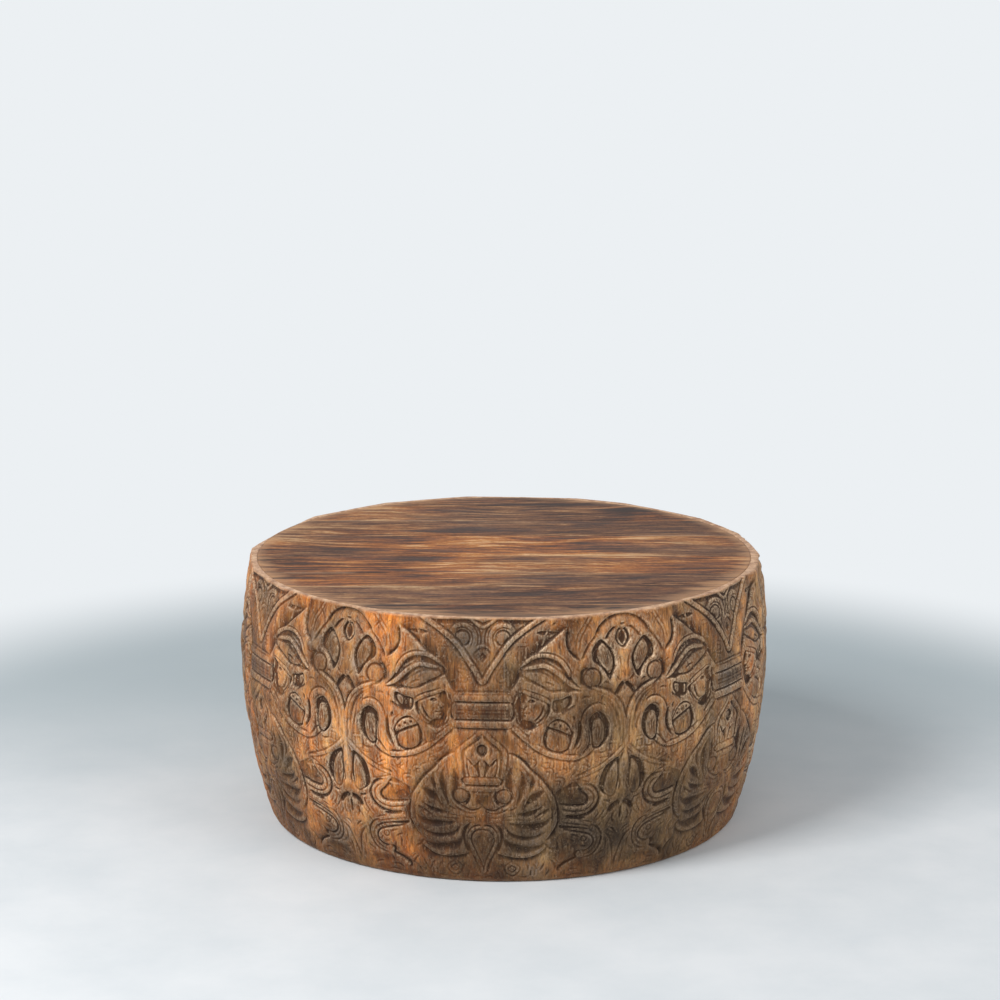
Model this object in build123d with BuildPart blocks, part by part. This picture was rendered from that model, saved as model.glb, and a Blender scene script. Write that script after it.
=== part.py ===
from build123d import *
import math
import os

# A drum coffee table: barrel-sided staves, coopered round a flush top of edge-glued boards.
# The origin is on the floor under the middle of the drum, with +Z up. All sizes are in mm.
# The boards of the top run along X, and the front of the drum looks along -Y.

# Drum, over all
table_height = 450.0
bulge_radius = 457.0  # at the drum's widest place
bulge_height = 293.0  # how high the widest place is
side_curve_radius = 889.0  # the arc of the side, from the floor to the rim

# Staves
stave_count = 36
first_joint_angle = -90.0  # where the first stave starts, in degrees from +X
rim_width = 18.0  # the stave's end that shows round the top
ledge_width = 8.0  # the step inside the rim that carries the edge of the top
wall_thickness = rim_width + ledge_width
foot_round = 12.0
rim_round = 5.0

# Carving: the main sunk fields on the outside of the staves
carving_depth = 5.0
carving_repeats = 6  # how often the carving repeats round the drum; each repeat is mirrored about its middle
crest_turn = -4.5  # where the middle of a crest stands, in degrees from the first joint
cutter_proud = 2.0  # how far the cutters stand out of the side
# Each outline is a row of points: hundredths of half a repeat, from the middle of the crest, and
# hundredths of the table's height. These fields lie on the middle lines of a repeat.
middle_fields = {
    "crest": ((-27, 98), (27, 98), (18, 91), (0, 80.5), (-18, 91)),
    "niche": ((-10, 42.5), (10, 42.5), (11, 51.5), (0, 57), (-11, 51.5)),
    "drop": ((0, 21.5), (-8, 19), (-9, 14.5), (0, 4.5), (9, 14.5), (8, 19)),
    "flower": ((100, 95.5), (94.5, 91.5), (96, 88.5), (100, 87.5), (104, 88.5), (105.5, 91.5)),
    "arch": ((100, 76.5), (92, 71), (95.5, 69.5), (100, 73), (104.5, 69.5), (108, 71)),
}
# These fields come in mirrored pairs.
paired_fields = {
    "funnel": ((19, 75), (27, 81.5), (42, 90), (58, 96.5), (46, 96), (33, 91), (21, 83.5), (13, 75.5)),
    "helmet": ((36, 83), (47, 81.5), (59, 76.5), (57, 81), (48, 85.5), (40, 85.5)),
    "guard": ((48, 70.5), (61, 72), (58, 66), (49, 65.5)),
    "collar": ((42, 57), (46, 63.5), (56, 64), (62, 57.5), (59, 51.5), (47, 51.5)),
    "loop": ((73.5, 59), (77, 65.5), (84, 65), (88, 58), (84, 52.5), (76, 52)),
    "tongue": ((59, 95.5), (57.5, 89), (67, 84), (72, 87.5), (82, 95), (73, 93)),
    "leaf": ((76.5, 85.5), (84, 91), (91.5, 87), (94, 81.5), (89, 77), (80.5, 81)),
    "petal": ((82, 38), (86, 45), (95, 47.5), (96.5, 38), (92.5, 33.5), (85, 34.5)),
    "scroll": ((52, 35.5), (63, 39.5), (74, 34), (72, 30), (51, 32)),
    "curl": ((56, 14), (63, 18), (74, 17.5), (79, 14.5), (72, 12), (61, 8.5)),
    "upper_lobe": ((18.5, 47.5), (17.5, 38.5), (23, 31.5), (28, 38), (26.5, 45)),
    "side_lobe": ((29.5, 30), (33, 35), (44.5, 38.5), (48.5, 33.5), (38, 31.5)),
    "lower_lobe": ((17, 24.5), (29, 22.5), (48.5, 24), (44, 19.5), (27, 20.5)),
    "foot_lobe": ((13, 20), (19, 14), (33, 12), (43, 14.5), (28, 16.5), (20, 18.5)),
}

# Boards of the top
board_thickness = 20.0
board_shares = (80, 113, 87, 120, 145, 115, 115, 75)  # how the boards share the top's width, from the front
board_gap = 0.3  # room for the top inside the rim

# Hoops, which hold the staves round, each sawn in four parts
hoop_width = 42.0
hoop_height = 30.0
lower_hoop_bottom = 12.0
hoop_parts = ("front_right", "back_right", "back_left", "front_left")
glue_gap = 0.3  # the glue line between a hoop and the staves

# Battens, which hold the boards flat
batten_width = 60.0
batten_depth = 30.0
batten_pitch = 210.0
batten_places = {"batten_left": -1, "batten_middle": 0, "batten_right": 1}
batten_end_gap = 0.5  # from a batten's corners to the hoop

# Screws
screw_radius = 2.0
screw_head_radius = 4.0
screw_point = 4.0  # the length of the tapered point
screw_room = 0.08  # from a screw to the side of its hole
tip_room = 0.5  # from a screw's point to the end of its hole
slot_width = 1.0
slot_depth = 1.2
head_angle = 90.0
board_bite = 11.0  # how far a screw goes into a board
stave_bite = 12.0  # how far a screw goes into a stave
least_bearing = 40.0  # a batten needs this length on a board to be screwed to it
joints_per_top_screw = 2  # the top screws stand at every second stave joint


def side_radius(z):
    """The drum's outer radius at a height."""
    return bulge_radius - side_curve_radius + math.sqrt(side_curve_radius**2 - (z - bulge_height) ** 2)


def wall_radius(z):
    """The radius of the staves' inner face at a height."""
    return side_radius(z) - wall_thickness


def side_arc(low, high, inset):
    """The arc of the side between two heights, moved towards the drum's axis."""
    points = [(side_radius(z) - inset, z) for z in (low, (low + high) / 2, high)]
    return ThreePointArc(*points)


def radial_plane(angle):
    """The upright plane through the drum's axis: its X points outwards and its Y points up."""
    a = math.radians(angle)
    return Plane(origin=(0, 0, 0), x_dir=(math.cos(a), math.sin(a), 0), z_dir=(math.sin(a), -math.cos(a), 0))


def ring_point(angle, radius, z):
    """A point at an angle and a radius round the drum's axis."""
    a = math.radians(angle)
    return (radius * math.cos(a), radius * math.sin(a), z)


def seat(point, outwards):
    """The place of a screw's head, with its Z pointing out of the hole."""
    return Plane(origin=point, z_dir=outwards).location


# What follows from the sizes
stave_angle = 360 / stave_count
board_bottom = table_height - board_thickness
rebate_radius = side_radius(table_height) - rim_width
top_radius = rebate_radius - board_gap
upper_hoop_bottom = board_bottom - hoop_height
upper_hoop_inner = wall_radius(board_bottom) - glue_gap - hoop_width
lower_hoop_inner = wall_radius(lower_hoop_bottom) - glue_gap - hoop_width
hoop_part_angle = 360 / len(hoop_parts)
first_hoop_joint = first_joint_angle + stave_angle / 4  # clear of the screws
batten_bottom = board_bottom - batten_depth
shank_hole_radius = screw_radius + screw_room
head_hole_radius = screw_head_radius + screw_room

half_repeat_angle = 180 / carving_repeats
half_repeat_width = bulge_radius * math.radians(half_repeat_angle)
# The steps in which the carving's outlines are given
step_across = half_repeat_width / 100
step_up = table_height / 100
step_round = half_repeat_angle / 100
share_width = 2 * top_radius / sum(board_shares)
board_edges = [share_width * sum(board_shares[:count]) - top_radius for count in range(len(board_shares) + 1)]
boards = list(zip(board_edges[:-1], board_edges[1:]))  # each board's front and back edge


def batten_half_length(x):
    """How far a batten reaches each way before its corners meet the hoop."""
    corner_x = abs(x) + batten_width / 2
    return math.sqrt((upper_hoop_inner - batten_end_gap) ** 2 - corner_x**2)


def hoop_screw_seats(inner_radius, bottom):
    """A seat on a hoop's inner face at the middle of each stave, looking at the drum's axis."""
    seats = []
    for index in range(stave_count):
        angle = first_joint_angle + (index + 0.5) * stave_angle
        point = ring_point(angle, inner_radius, bottom + hoop_height / 2)
        seats.append(seat(point, (-point[0], -point[1], 0)))
    return seats


def top_screw_seats():
    """Seats on the underside of the upper hoop, at stave joints."""
    seats = []
    for index in range(0, stave_count, joints_per_top_screw):
        angle = first_joint_angle + index * stave_angle
        point = ring_point(angle, upper_hoop_inner + hoop_width / 2, upper_hoop_bottom)
        seats.append(seat(point, (0, 0, -1)))
    return seats


def batten_screw_seats(x):
    """Seats on the underside of a batten, one under each board that it bears on."""
    seats = []
    reach = batten_half_length(x)
    for front, back in boards:
        low = max(front, -reach)
        high = min(back, reach)
        if high - low >= least_bearing:
            seats.append(seat((x, (low + high) / 2, batten_bottom), (0, 0, -1)))
    return seats


def hoop_screw_length(inner_radius, bottom):
    """From a hoop's inner face, through the hoop and into the stave."""
    return wall_radius(bottom + hoop_height / 2) - inner_radius + stave_bite


batten_xs = {name: place * batten_pitch for name, place in batten_places.items()}
upper_hoop_seats = hoop_screw_seats(upper_hoop_inner, upper_hoop_bottom)
lower_hoop_seats = hoop_screw_seats(lower_hoop_inner, lower_hoop_bottom)
upper_hoop_screw = hoop_screw_length(upper_hoop_inner, upper_hoop_bottom)
lower_hoop_screw = hoop_screw_length(lower_hoop_inner, lower_hoop_bottom)
top_seats = top_screw_seats()
top_screw = hoop_height + board_bite
batten_seats = {name: batten_screw_seats(x) for name, x in batten_xs.items()}
batten_screw = batten_depth + board_bite


def make_cutter(outline):
    """A cutter that sinks an outline into the side, with the outline's middle over +X."""
    shares = [share for share, height in outline]
    middle = (min(shares) + max(shares)) / 2
    low = -cutter_proud
    high = table_height + cutter_proud
    with BuildPart() as cutter:
        with BuildSketch(Plane.YZ):
            with BuildLine():
                points = [((share - middle) * step_across, height * step_up) for share, height in outline]
                Polyline(*points, close=True)
            make_face()
        extrude(amount=bulge_radius + cutter_proud)
        with BuildSketch(radial_plane(-half_repeat_angle)):
            with BuildLine():
                side_arc(low, high, carving_depth)
                Line((side_radius(high) - carving_depth, high), (side_radius(high) + cutter_proud, high))
                side_arc(low, high, -cutter_proud)
                Line((side_radius(low) + cutter_proud, low), (side_radius(low) - carving_depth, low))
            make_face()
        revolve(axis=Axis.Z, revolution_arc=2 * half_repeat_angle, mode=Mode.INTERSECT)
    return cutter.part


def mirrored(outline):
    """The outline's twin on the other side of the crest."""
    return [(-share, height) for share, height in outline]


def place_cutters():
    """Every cutter with the angle where it works and how far it reaches each way."""
    outlines = list(middle_fields.values()) + list(paired_fields.values())
    outlines += [mirrored(outline) for outline in paired_fields.values()]
    placed = []
    for outline in outlines:
        shares = [share for share, height in outline]
        middle = (min(shares) + max(shares)) / 2 * step_round
        reach = (max(shares) - min(shares)) / 2 * step_round
        cutter = make_cutter(outline)
        for repeat in range(carving_repeats):
            angle = first_joint_angle + crest_turn + middle + 2 * repeat * half_repeat_angle
            placed.append((cutter, angle, reach))
    return placed


def make_stave(index, placed_cutters):
    """A stave: barrel-sided, carved, bevelled to its neighbours, with a rebate for the top."""
    stave_middle = first_joint_angle + (index + 0.5) * stave_angle
    with BuildPart() as stave:
        with BuildSketch(radial_plane(first_joint_angle + index * stave_angle)) as section:
            with BuildLine():
                Line((wall_radius(0), 0), (side_radius(0), 0))
                side_arc(0, table_height, 0)
                Polyline(
                    (side_radius(table_height), table_height),
                    (rebate_radius, table_height),
                    (rebate_radius, board_bottom),
                    (wall_radius(board_bottom), board_bottom),
                )
                side_arc(0, board_bottom, wall_thickness)
            make_face()
            fillet(section.vertices().group_by(Axis.Y)[0].sort_by(Axis.X)[-1], foot_round)
            fillet(section.vertices().group_by(Axis.Y)[-1].sort_by(Axis.X)[-1], rim_round)
        revolve(axis=Axis.Z, revolution_arc=stave_angle)
        with Locations(upper_hoop_seats[index]):
            Hole(shank_hole_radius, upper_hoop_screw + tip_room)
        with Locations(lower_hoop_seats[index]):
            Hole(shank_hole_radius, lower_hoop_screw + tip_room)
        for cutter, angle, reach in placed_cutters:
            apart = abs((angle - stave_middle + 180) % 360 - 180)
            if apart < reach + stave_angle / 2:
                add(cutter, rotation=(0, 0, angle), mode=Mode.SUBTRACT)
    return stave.part


def make_board(front, back):
    """A board of the top, cut to the round where it meets the rim, with blind holes from below."""
    screws = [(spot, top_screw - hoop_height) for spot in top_seats]
    screws += [(spot, batten_screw - batten_depth) for spots in batten_seats.values() for spot in spots]
    with BuildPart() as board:
        with BuildSketch(Plane.XY.offset(board_bottom)):
            Circle(top_radius)
            with Locations((0, (front + back) / 2)):
                Rectangle(2 * top_radius, back - front, mode=Mode.INTERSECT)
        extrude(amount=board_thickness)
        for spot, bite in screws:
            place = spot.position
            if front - shank_hole_radius < place.Y < back + shank_hole_radius:
                with Locations(seat((place.X, place.Y, board_bottom), (0, 0, -1))):
                    Hole(shank_hole_radius, bite + tip_room)
    return board.part


def make_hoop_part(start_angle, inner_radius, bottom, side_seats, side_screw, lower_seats):
    """A quarter of a hoop, drilled and countersunk inside for the staves, and below for the top."""
    top = bottom + hoop_height
    with BuildPart() as hoop_part:
        with BuildSketch(radial_plane(start_angle)):
            with BuildLine():
                Polyline(
                    (wall_radius(top) - glue_gap, top),
                    (inner_radius, top),
                    (inner_radius, bottom),
                    (wall_radius(bottom) - glue_gap, bottom),
                )
                side_arc(bottom, top, wall_thickness + glue_gap)
            make_face()
        revolve(axis=Axis.Z, revolution_arc=hoop_part_angle)
        for spots, depth in ((side_seats, side_screw), (lower_seats, hoop_height)):
            inside = [spot for spot in spots if within_part(spot.position, start_angle)]
            if inside:
                with Locations(*inside):
                    CounterSinkHole(shank_hole_radius, head_hole_radius, depth, head_angle)
    return hoop_part.part


def within_part(point, start_angle):
    """Whether a point lies in the quarter of the hoop that starts at an angle."""
    angle = math.degrees(math.atan2(point.Y, point.X))
    return (angle - start_angle) % 360 < hoop_part_angle


def make_batten(x, seats):
    """A batten under the boards, with countersunk holes."""
    with BuildPart() as batten:
        with BuildSketch(Plane.XY.offset(batten_bottom)):
            with Locations((x, 0)):
                Rectangle(batten_width, 2 * batten_half_length(x))
        extrude(amount=batten_depth)
        with Locations(*seats):
            CounterSinkHole(shank_hole_radius, head_hole_radius, batten_depth, head_angle)
    return batten.part


def make_screw(length):
    """A slotted, countersunk wood screw: its head's face is at the origin and its point is below."""
    head_depth = (screw_head_radius - screw_radius) / math.tan(math.radians(head_angle / 2))
    with BuildPart() as screw:
        with BuildSketch(Plane.XZ):
            with BuildLine():
                Polyline(
                    (0, 0),
                    (screw_head_radius, 0),
                    (screw_radius, -head_depth),
                    (screw_radius, screw_point - length),
                    (0, -length),
                    close=True,
                )
            make_face()
        revolve(axis=Axis.Z)
        Box(2 * screw_head_radius, slot_width, 2 * slot_depth, mode=Mode.SUBTRACT)
    return screw.part


def make_screws(seats_and_screws):
    """A group of screws, each in its seat."""
    with BuildPart() as screws:
        for seats, screw in seats_and_screws:
            with Locations(*seats):
                add(screw)
    return screws.part


def save(piece, name):
    piece.label = name
    export_step(piece, f"parts/{name}.step")


os.makedirs("parts", exist_ok=True)

placed_cutters = place_cutters()
for index in range(stave_count):
    save(make_stave(index, placed_cutters), f"stave_{index + 1:02}")

for index, (front, back) in enumerate(boards):
    save(make_board(front, back), f"top_board_{index + 1}")

for index, place in enumerate(hoop_parts):
    start = first_hoop_joint + index * hoop_part_angle
    upper = make_hoop_part(
        start, upper_hoop_inner, upper_hoop_bottom, upper_hoop_seats, upper_hoop_screw, top_seats
    )
    save(upper, f"upper_hoop_{place}")
    lower = make_hoop_part(start, lower_hoop_inner, lower_hoop_bottom, lower_hoop_seats, lower_hoop_screw, [])
    save(lower, f"lower_hoop_{place}")

for name, x in batten_xs.items():
    save(make_batten(x, batten_seats[name]), name)

upper_screws = (upper_hoop_seats, make_screw(upper_hoop_screw))
lower_screws = (lower_hoop_seats, make_screw(lower_hoop_screw))
save(make_screws([upper_screws, lower_screws]), "stave_screws")
save(make_screws([(top_seats, make_screw(top_screw))]), "top_screws")
save(make_screws([(seats, make_screw(batten_screw)) for seats in batten_seats.values()]), "batten_screws")
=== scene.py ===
import bpy
import math
import numpy as np
from functools import partial
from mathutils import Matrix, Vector


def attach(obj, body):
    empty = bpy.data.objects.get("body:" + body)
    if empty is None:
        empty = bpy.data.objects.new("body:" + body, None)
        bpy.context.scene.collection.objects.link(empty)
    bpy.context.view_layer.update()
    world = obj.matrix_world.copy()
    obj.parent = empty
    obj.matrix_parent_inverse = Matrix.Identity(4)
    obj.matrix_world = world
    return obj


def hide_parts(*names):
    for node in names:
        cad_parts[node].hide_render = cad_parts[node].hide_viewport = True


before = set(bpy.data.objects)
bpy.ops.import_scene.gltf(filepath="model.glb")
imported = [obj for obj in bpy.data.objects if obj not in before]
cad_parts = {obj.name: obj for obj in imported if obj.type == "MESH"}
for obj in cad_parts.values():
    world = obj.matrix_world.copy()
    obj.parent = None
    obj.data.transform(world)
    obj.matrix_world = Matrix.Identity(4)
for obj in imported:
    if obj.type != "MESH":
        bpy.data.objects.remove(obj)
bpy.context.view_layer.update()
print("frame loaded:", len(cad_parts), "nodes")


def toLinear(hexColour):
    # sRGB hex to the linear colour that Blender works in
    parts = [int(hexColour[i:i + 2], 16) / 255 for i in (1, 3, 5)]
    return tuple(c / 12.92 if c <= 0.04045 else ((c + 0.055) / 1.055) ** 2.4 for c in parts) + (1.0,)


def perMetre(millimetres):
    # the scale that makes a pattern's features about this many millimetres apart
    return 1000.0 / millimetres


def addNode(tree, kind, settings=None, links=None):
    # adds a node with its settings and links, and gives back its outputs
    # a number names an input by its place, and "stops" fills a ramp
    node = tree.nodes.new(kind)
    for name, value in (settings or {}).items():
        if name == "stops":
            stops = node.color_ramp.elements
            while len(stops) < len(value):
                stops.new(1.0)
            for stop, (place, colour) in zip(stops, value):
                stop.position = place
                stop.color = toLinear(colour) if isinstance(colour, str) else (colour,) * 3 + (1.0,)
        elif isinstance(name, int) or name in node.inputs:
            node.inputs[name].default_value = value
        else:
            setattr(node, name, value)
    for name, source in (links or {}).items():
        tree.links.new(source, node.inputs[name])
    return node.outputs


def newMaterial(name):
    # an empty material, and what adds nodes to it
    material = bpy.data.materials.new(name)
    material.use_nodes = True
    material.node_tree.nodes.clear()
    return material, partial(addNode, material.node_tree)


noise, mix, calc = "ShaderNodeTexNoise", "ShaderNodeMix", "ShaderNodeMath"
ramp, mapRange = "ShaderNodeValToRGB", "ShaderNodeMapRange"

# the sizes of the CAD's drum, in mm and degrees
drum = {
    "height": 450.0,
    "bulgeRadius": 457.0,
    "bulgeHeight": 293.0,
    "sideCurve": 889.0,
    "staveCount": 36,
    "firstJoint": -90.0,
    "wall": 26.0,
    "rimWidth": 18.0,
    "boardThickness": 20.0,
    "rimRound": 5.0,
    "footRound": 12.0,
}

# The carving is drawn once, on half of one sixth of the drum, and mirrored from there. Its places
# are millimetres: along the belly from the crest's middle, and up from a little below the floor.
carving = {
    "halfRepeat": 239.3,
    "height": 457.0,
    "step": 0.5,  # how fine the drawing is kept
    "bevel": 1.3,  # how far a steep side leans
    "gougeSpread": 1.35,  # wider cuts than drawn, with the same middle
    "leanSpread": 1.9,
    "bankSpread": 1.5,
    # how full the brushes are: lower is fuller
    "endCurve": 0.6,
    "gougeCurve": 1.3,
    "bankCurve": 1.4,
    "moatCurve": 1.2,
    "leastReach": 0.05,
    "crownLift": 1.4,  # how far the crown of a raised shape falls off to its edge
    "softBrush": 1.7,  # a soft round brush is this much wider than each of its box means
}

acrossSteps = int(carving["halfRepeat"] / carving["step"]) + 1
upSteps = int(carving["height"] / carving["step"]) + 1
acrossGrid, upGrid = np.meshgrid(
    np.arange(acrossSteps, dtype=np.float32) * carving["step"],
    np.arange(upSteps, dtype=np.float32) * carving["step"],
)
relief = np.zeros_like(acrossGrid)


def smoothLine(points, closed=False):
    # a curve through the points, with a place at about every step
    p = np.array(points, dtype=float)
    if closed:
        p = np.vstack([p[-1], p, p[0], p[1]])
    else:
        p = np.vstack([2 * p[0] - p[1], p, 2 * p[-1] - p[-2]])
    line = []
    for a, b, c, d in zip(p[:-3], p[1:-2], p[2:-1], p[3:]):
        count = max(2, int(np.hypot(*(c - b)) / carving["step"]))
        t = np.arange(count)[:, None] / count
        curve = 2 * b + (c - a) * t + (2 * a - 5 * b + 4 * c - d) * t**2 + (3 * b - a - 3 * c + d) * t**3
        line.append(0.5 * curve)
    if not closed:
        line.append(p[-2][None])
    return np.vstack(line).astype(np.float32)


def cornerLine(points):
    # straight sides from point to point and back to the first
    p = np.array(points, float)
    line = []
    for a, b in zip(p, np.roll(p, -1, 0)):
        count = max(2, int(np.hypot(*(b - a)) / carving["step"]))
        line.append(a + (b - a) * np.arange(count)[:, None] / count)
    return np.vstack(line).astype(np.float32)


def window(line, reach):
    # the part of the drawing that a brush along the line can touch
    low = np.maximum(((line.min(0) - reach) / carving["step"]).astype(int), 0)
    high = ((line.max(0) + reach) / carving["step"]).astype(int) + 2
    return slice(low[1], max(high[1], 0)), slice(low[0], max(high[0], 0))


def measure(line, area):
    # how far each place is from the line, how far along it, and on which side
    s, z = acrossGrid[area], upGrid[area]
    best = np.full(s.shape, 1e9, np.float32)
    where = np.zeros(s.shape, np.int32)
    for i, (a, b) in enumerate(line):
        d = (s - a) ** 2 + (z - b) ** 2
        closer = d < best
        best[closer] = d[closer]
        where[closer] = i
    ahead = line[np.minimum(where + 1, len(line) - 1)] - line[np.maximum(where - 1, 0)]
    here = line[where]
    side = ahead[..., 0] * (z - here[..., 1]) - ahead[..., 1] * (s - here[..., 0])
    return np.sqrt(best), where / max(len(line) - 1, 1), np.sign(side)


def inside(line, area):
    s, z = acrossGrid[area], upGrid[area]
    within = np.zeros(s.shape, bool)
    for (s0, z0), (s1, z1) in zip(line, np.roll(line, -1, 0)):
        crosses = (z0 > z) != (z1 > z)
        if z0 != z1:
            within ^= crosses & (s < (s1 - s0) * (z - z0) / (z1 - z0) + s0)
    return within


def ends(along, taper):
    # how a cut thins out towards both its ends
    if taper <= 0:
        return 1.0
    return np.clip(np.minimum(along, 1 - along) / taper, 0, 1) ** carving["endCurve"]


def gouge(points, width, depth, taper=0.25, lean=0):
    # a cut along a line: lean -1 or 1 makes it steep on one side and runs it out on the other
    width = width * (carving["leanSpread"] if lean else carving["gougeSpread"])
    line = smoothLine(points)
    area = window(line, width + 1)
    far, along, side = measure(line, area)
    size = ends(along, taper)
    reach = np.maximum(width * size, carving["leastReach"])
    if lean:
        reach = np.where(side * lean > 0, reach, carving["bevel"])
    share = np.clip(far / reach, 0, 1)
    cut = -depth * size * (1 - (share if lean else share**2)) ** carving["gougeCurve"]
    relief[area] = np.minimum(relief[area], cut)


def strip(points, halfWidth, shoulder, depth, taper=0.0, level=0.0, crown=1.1):
    # a raised band: what it crosses is lifted to its level, and the wood beside it is cut away
    shoulder = shoulder * carving["bankSpread"]
    line = smoothLine(points)
    area = window(line, halfWidth + shoulder + 1)
    far, along, _ = measure(line, area)
    size = ends(along, taper)
    half = np.maximum(halfWidth * size, carving["leastReach"])
    beyond = far - half
    bank = -depth * size * np.clip(1 - (beyond - carving["bevel"]) / shoulder, 0, 1) ** carving["bankCurve"]
    bank = np.where(beyond < carving["bevel"], 0, bank)
    top = level - crown * np.clip(far / half, 0, 1) ** 2 - depth * np.clip(beyond / carving["bevel"], 0, 1)
    lowered = np.minimum(relief[area], bank)
    relief[area] = np.where(beyond < carving["bevel"], np.maximum(top, lowered), lowered)


def outlined(points, curved):
    # the places inside a closed outline, and how far each is from it
    line = smoothLine(points, True) if curved else cornerLine(points)
    area = window(line, 1)
    return area, measure(line, area)[0], inside(line, area)


def pocket(points, depth, rise=0.0, riseWidth=10.0, curved=True):
    # a sunk shape: its floor can rise again towards its middle
    area, far, within = outlined(points, curved)
    floor = -depth * np.clip(far / carving["bevel"], 0, 1)
    floor += rise * np.clip((far - carving["bevel"]) / riseWidth, 0, 1)
    relief[area] = np.where(within, np.minimum(relief[area], floor), relief[area])


def boss(points, level, crown=1.0, crownWidth=6.0, curved=True):
    # a shape that stands up out of a sunk place, to a level, with a rounded edge
    area, far, within = outlined(points, curved)
    top = level - carving["crownLift"] * crown * (1 - np.clip(far / crownWidth, 0, 1)) ** 2
    shaped = np.where(
        far < carving["bevel"], relief[area] + (top - relief[area]) * far / carving["bevel"], top,
    )
    relief[area] = np.where(within, shaped, relief[area])


def ball(place, radius, moat, depth):
    # a round boss in a ring-shaped cut
    s, z = place
    area = window(np.array([place], np.float32), radius + moat + 1)
    far = np.hypot(acrossGrid[area] - s, upGrid[area] - z)
    dome = -depth + depth * np.sqrt(np.clip(1 - (far / radius) ** 2, 0, 1))
    ring = -depth * np.clip((radius + moat - far) / moat, 0, 1) ** carving["moatCurve"]
    relief[area] = np.where(far < radius, dome, np.minimum(relief[area], ring))


def blur(field, radius):
    # three box means are close to a soft round brush
    steps = max(1, int(radius / carving["step"] / carving["softBrush"]))
    count = 2 * steps + 1
    for _ in range(3):
        for axis in (0, 1):
            pad = [(0, 0), (0, 0)]
            pad[axis] = (steps + 1, steps)
            total = np.cumsum(np.pad(field, pad, mode="reflect"), axis=axis, dtype=np.float64)
            size = total.shape[axis]
            ahead, behind = range(count, size), range(size - count)
            field = (np.take(total, ahead, axis) - np.take(total, behind, axis)) / count
    return field.astype(np.float32)


def beside(points, offset):
    # the same line moved to its left by some millimetres
    p = np.array(points, float)
    ahead = np.gradient(p, axis=0)
    ahead /= np.hypot(ahead[:, 0], ahead[:, 1])[:, None]
    return p + offset * np.stack([-ahead[:, 1], ahead[:, 0]], 1)


otherLine = carving["halfRepeat"]  # the middle line of the flower and the stem


def carveCrest():
    # the sunk field inside the V, with its scrolls
    pocket([
        (0, 451), (20, 455), (88, 453), (70, 438), (50, 421), (36, 408), (26, 392), (13, 374), (0, 356),
        (-20, 380), (-20, 440),
    ], 4.2, 1.6, 14)
    pocket([(14, 453.5), (45, 452), (78, 452), (66, 446), (40, 447), (22, 447)], 4.5, 1.5, 4)
    gouge([(47, 451), (28, 451), (12, 444), (5, 430), (5, 416), (11, 404), (22, 397)], 6, 5, 0.2, -1)
    ball((33, 424), 22, 3, 3.2)
    strip([
        (53, 436), (44, 443.5), (32, 446), (20, 441.5), (13, 431), (12.5, 418), (18, 407), (28, 401),
    ], 2.6, 3.5, 4.5, 0.2)
    ball((33, 425), 11.5, 5.5, 5.2)
    strip([(-18, 402), (0, 414), (18, 400), (0, 378), (-18, 400)], 1.1, 2.5, 2.5)
    pocket([(0, 404), (9, 395), (0, 385), (-9, 395)], 4.5, curved=False)
    strip([(23, 403), (11, 386), (0, 370), (-11, 386)], 1.4, 3, 3, 0.1)
    strip([
        (99, 458), (73, 441.5), (50, 423.5), (38, 411), (27, 396), (12, 375), (0, 357), (-12, 375),
    ], 2.8, 7.5, 5)
    strip([(24, 458), (0, 443), (-24, 458)], 1.5, 3, 3.5)


def carveFunnel():
    # the ground between the V and the roundel, cut deepest along the roundel's side
    pocket([
        (0, 349), (14, 370), (30, 394), (42, 409), (54, 421), (76, 437), (104, 456), (128, 448), (141, 441),
        (120, 427), (100, 410), (76, 389), (66, 375), (55, 356), (42, 338), (0, 339),
    ], 1.6, 0.6, 12, False)
    gouge([(40, 335), (55, 355), (66, 374), (77, 389), (100, 410), (122, 428), (141, 442)], 14, 5.2, 0.12, 1)
    gouge([(0, 341), (42, 340)], 6, 3.5, 0, 1)
    pocket([(88, 434), (103, 437), (124, 434), (112, 429), (96, 429)], 4.8, 1, 3)
    strip([(83, 446), (97, 443), (110, 447), (122, 455)], 1, 2.5, 2.2, 0.2, -0.6)
    strip([(113, 447), (104, 430), (98, 414)], 0.7, 1.8, 1.4, 0.2, -1.2)
    for mark in (
        [(17, 371), (41, 376)],
        [(41, 376), (42, 350)],
        [(27, 372), (27, 360), (38, 361)],
        [(54, 415), (73, 415)],
        [(72, 412), (70, 396), (73, 388)],
        [(60, 405), (60, 388)],
    ):
        strip(mark, 1.3, 2.2, 3.2, 0.1, -0.6)


def carveBelt():
    pocket([
        (-60, 327), (46, 327), (50, 318), (52, 310), (50, 300), (46, 291), (-60, 291),
    ], 2.2, 0.8, 8, False)
    strip([(-60, 330.5), (41, 330.5)], 5.2, 2.5, 3.5, 0, 0, 1)
    gouge([(-20, 324), (46, 324)], 2.2, 5, 0.05)
    gouge([(-20, 295), (46, 295)], 2.2, 5, 0.05)
    gouge([(44, 325), (50, 320), (51.5, 310), (50, 300), (44, 294)], 3.4, 5.2, 0.15)
    for z in (312.3, 306.3):
        gouge([(-20, z), (44, z)], 1.7, 2.2, 0.06)
    for z in (319, 300.5):
        gouge([(-20, z), (45, z)], 1.2, 1, 0.06)
    strip([(-60, 288.5), (43, 288.5)], 4.8, 2.5, 3.5, 0, 0, 1)
    gouge([(-20, 281.5), (42, 281.5)], 5, 4.5, 0.05, -1)


def carveRoundel():
    # the lower rim of the roundel, and the sunk field behind the head
    strip([
        (46, 287), (60, 274.5), (75, 261), (92, 247), (115, 235.5), (145, 229), (163, 232), (178, 243),
        (188, 252),
    ], 2.8, 5.5, 4, 0.06)
    gouge([(58, 283), (72, 270), (88, 257), (102, 247.5)], 5, 3, 0.2, 1)


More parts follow.
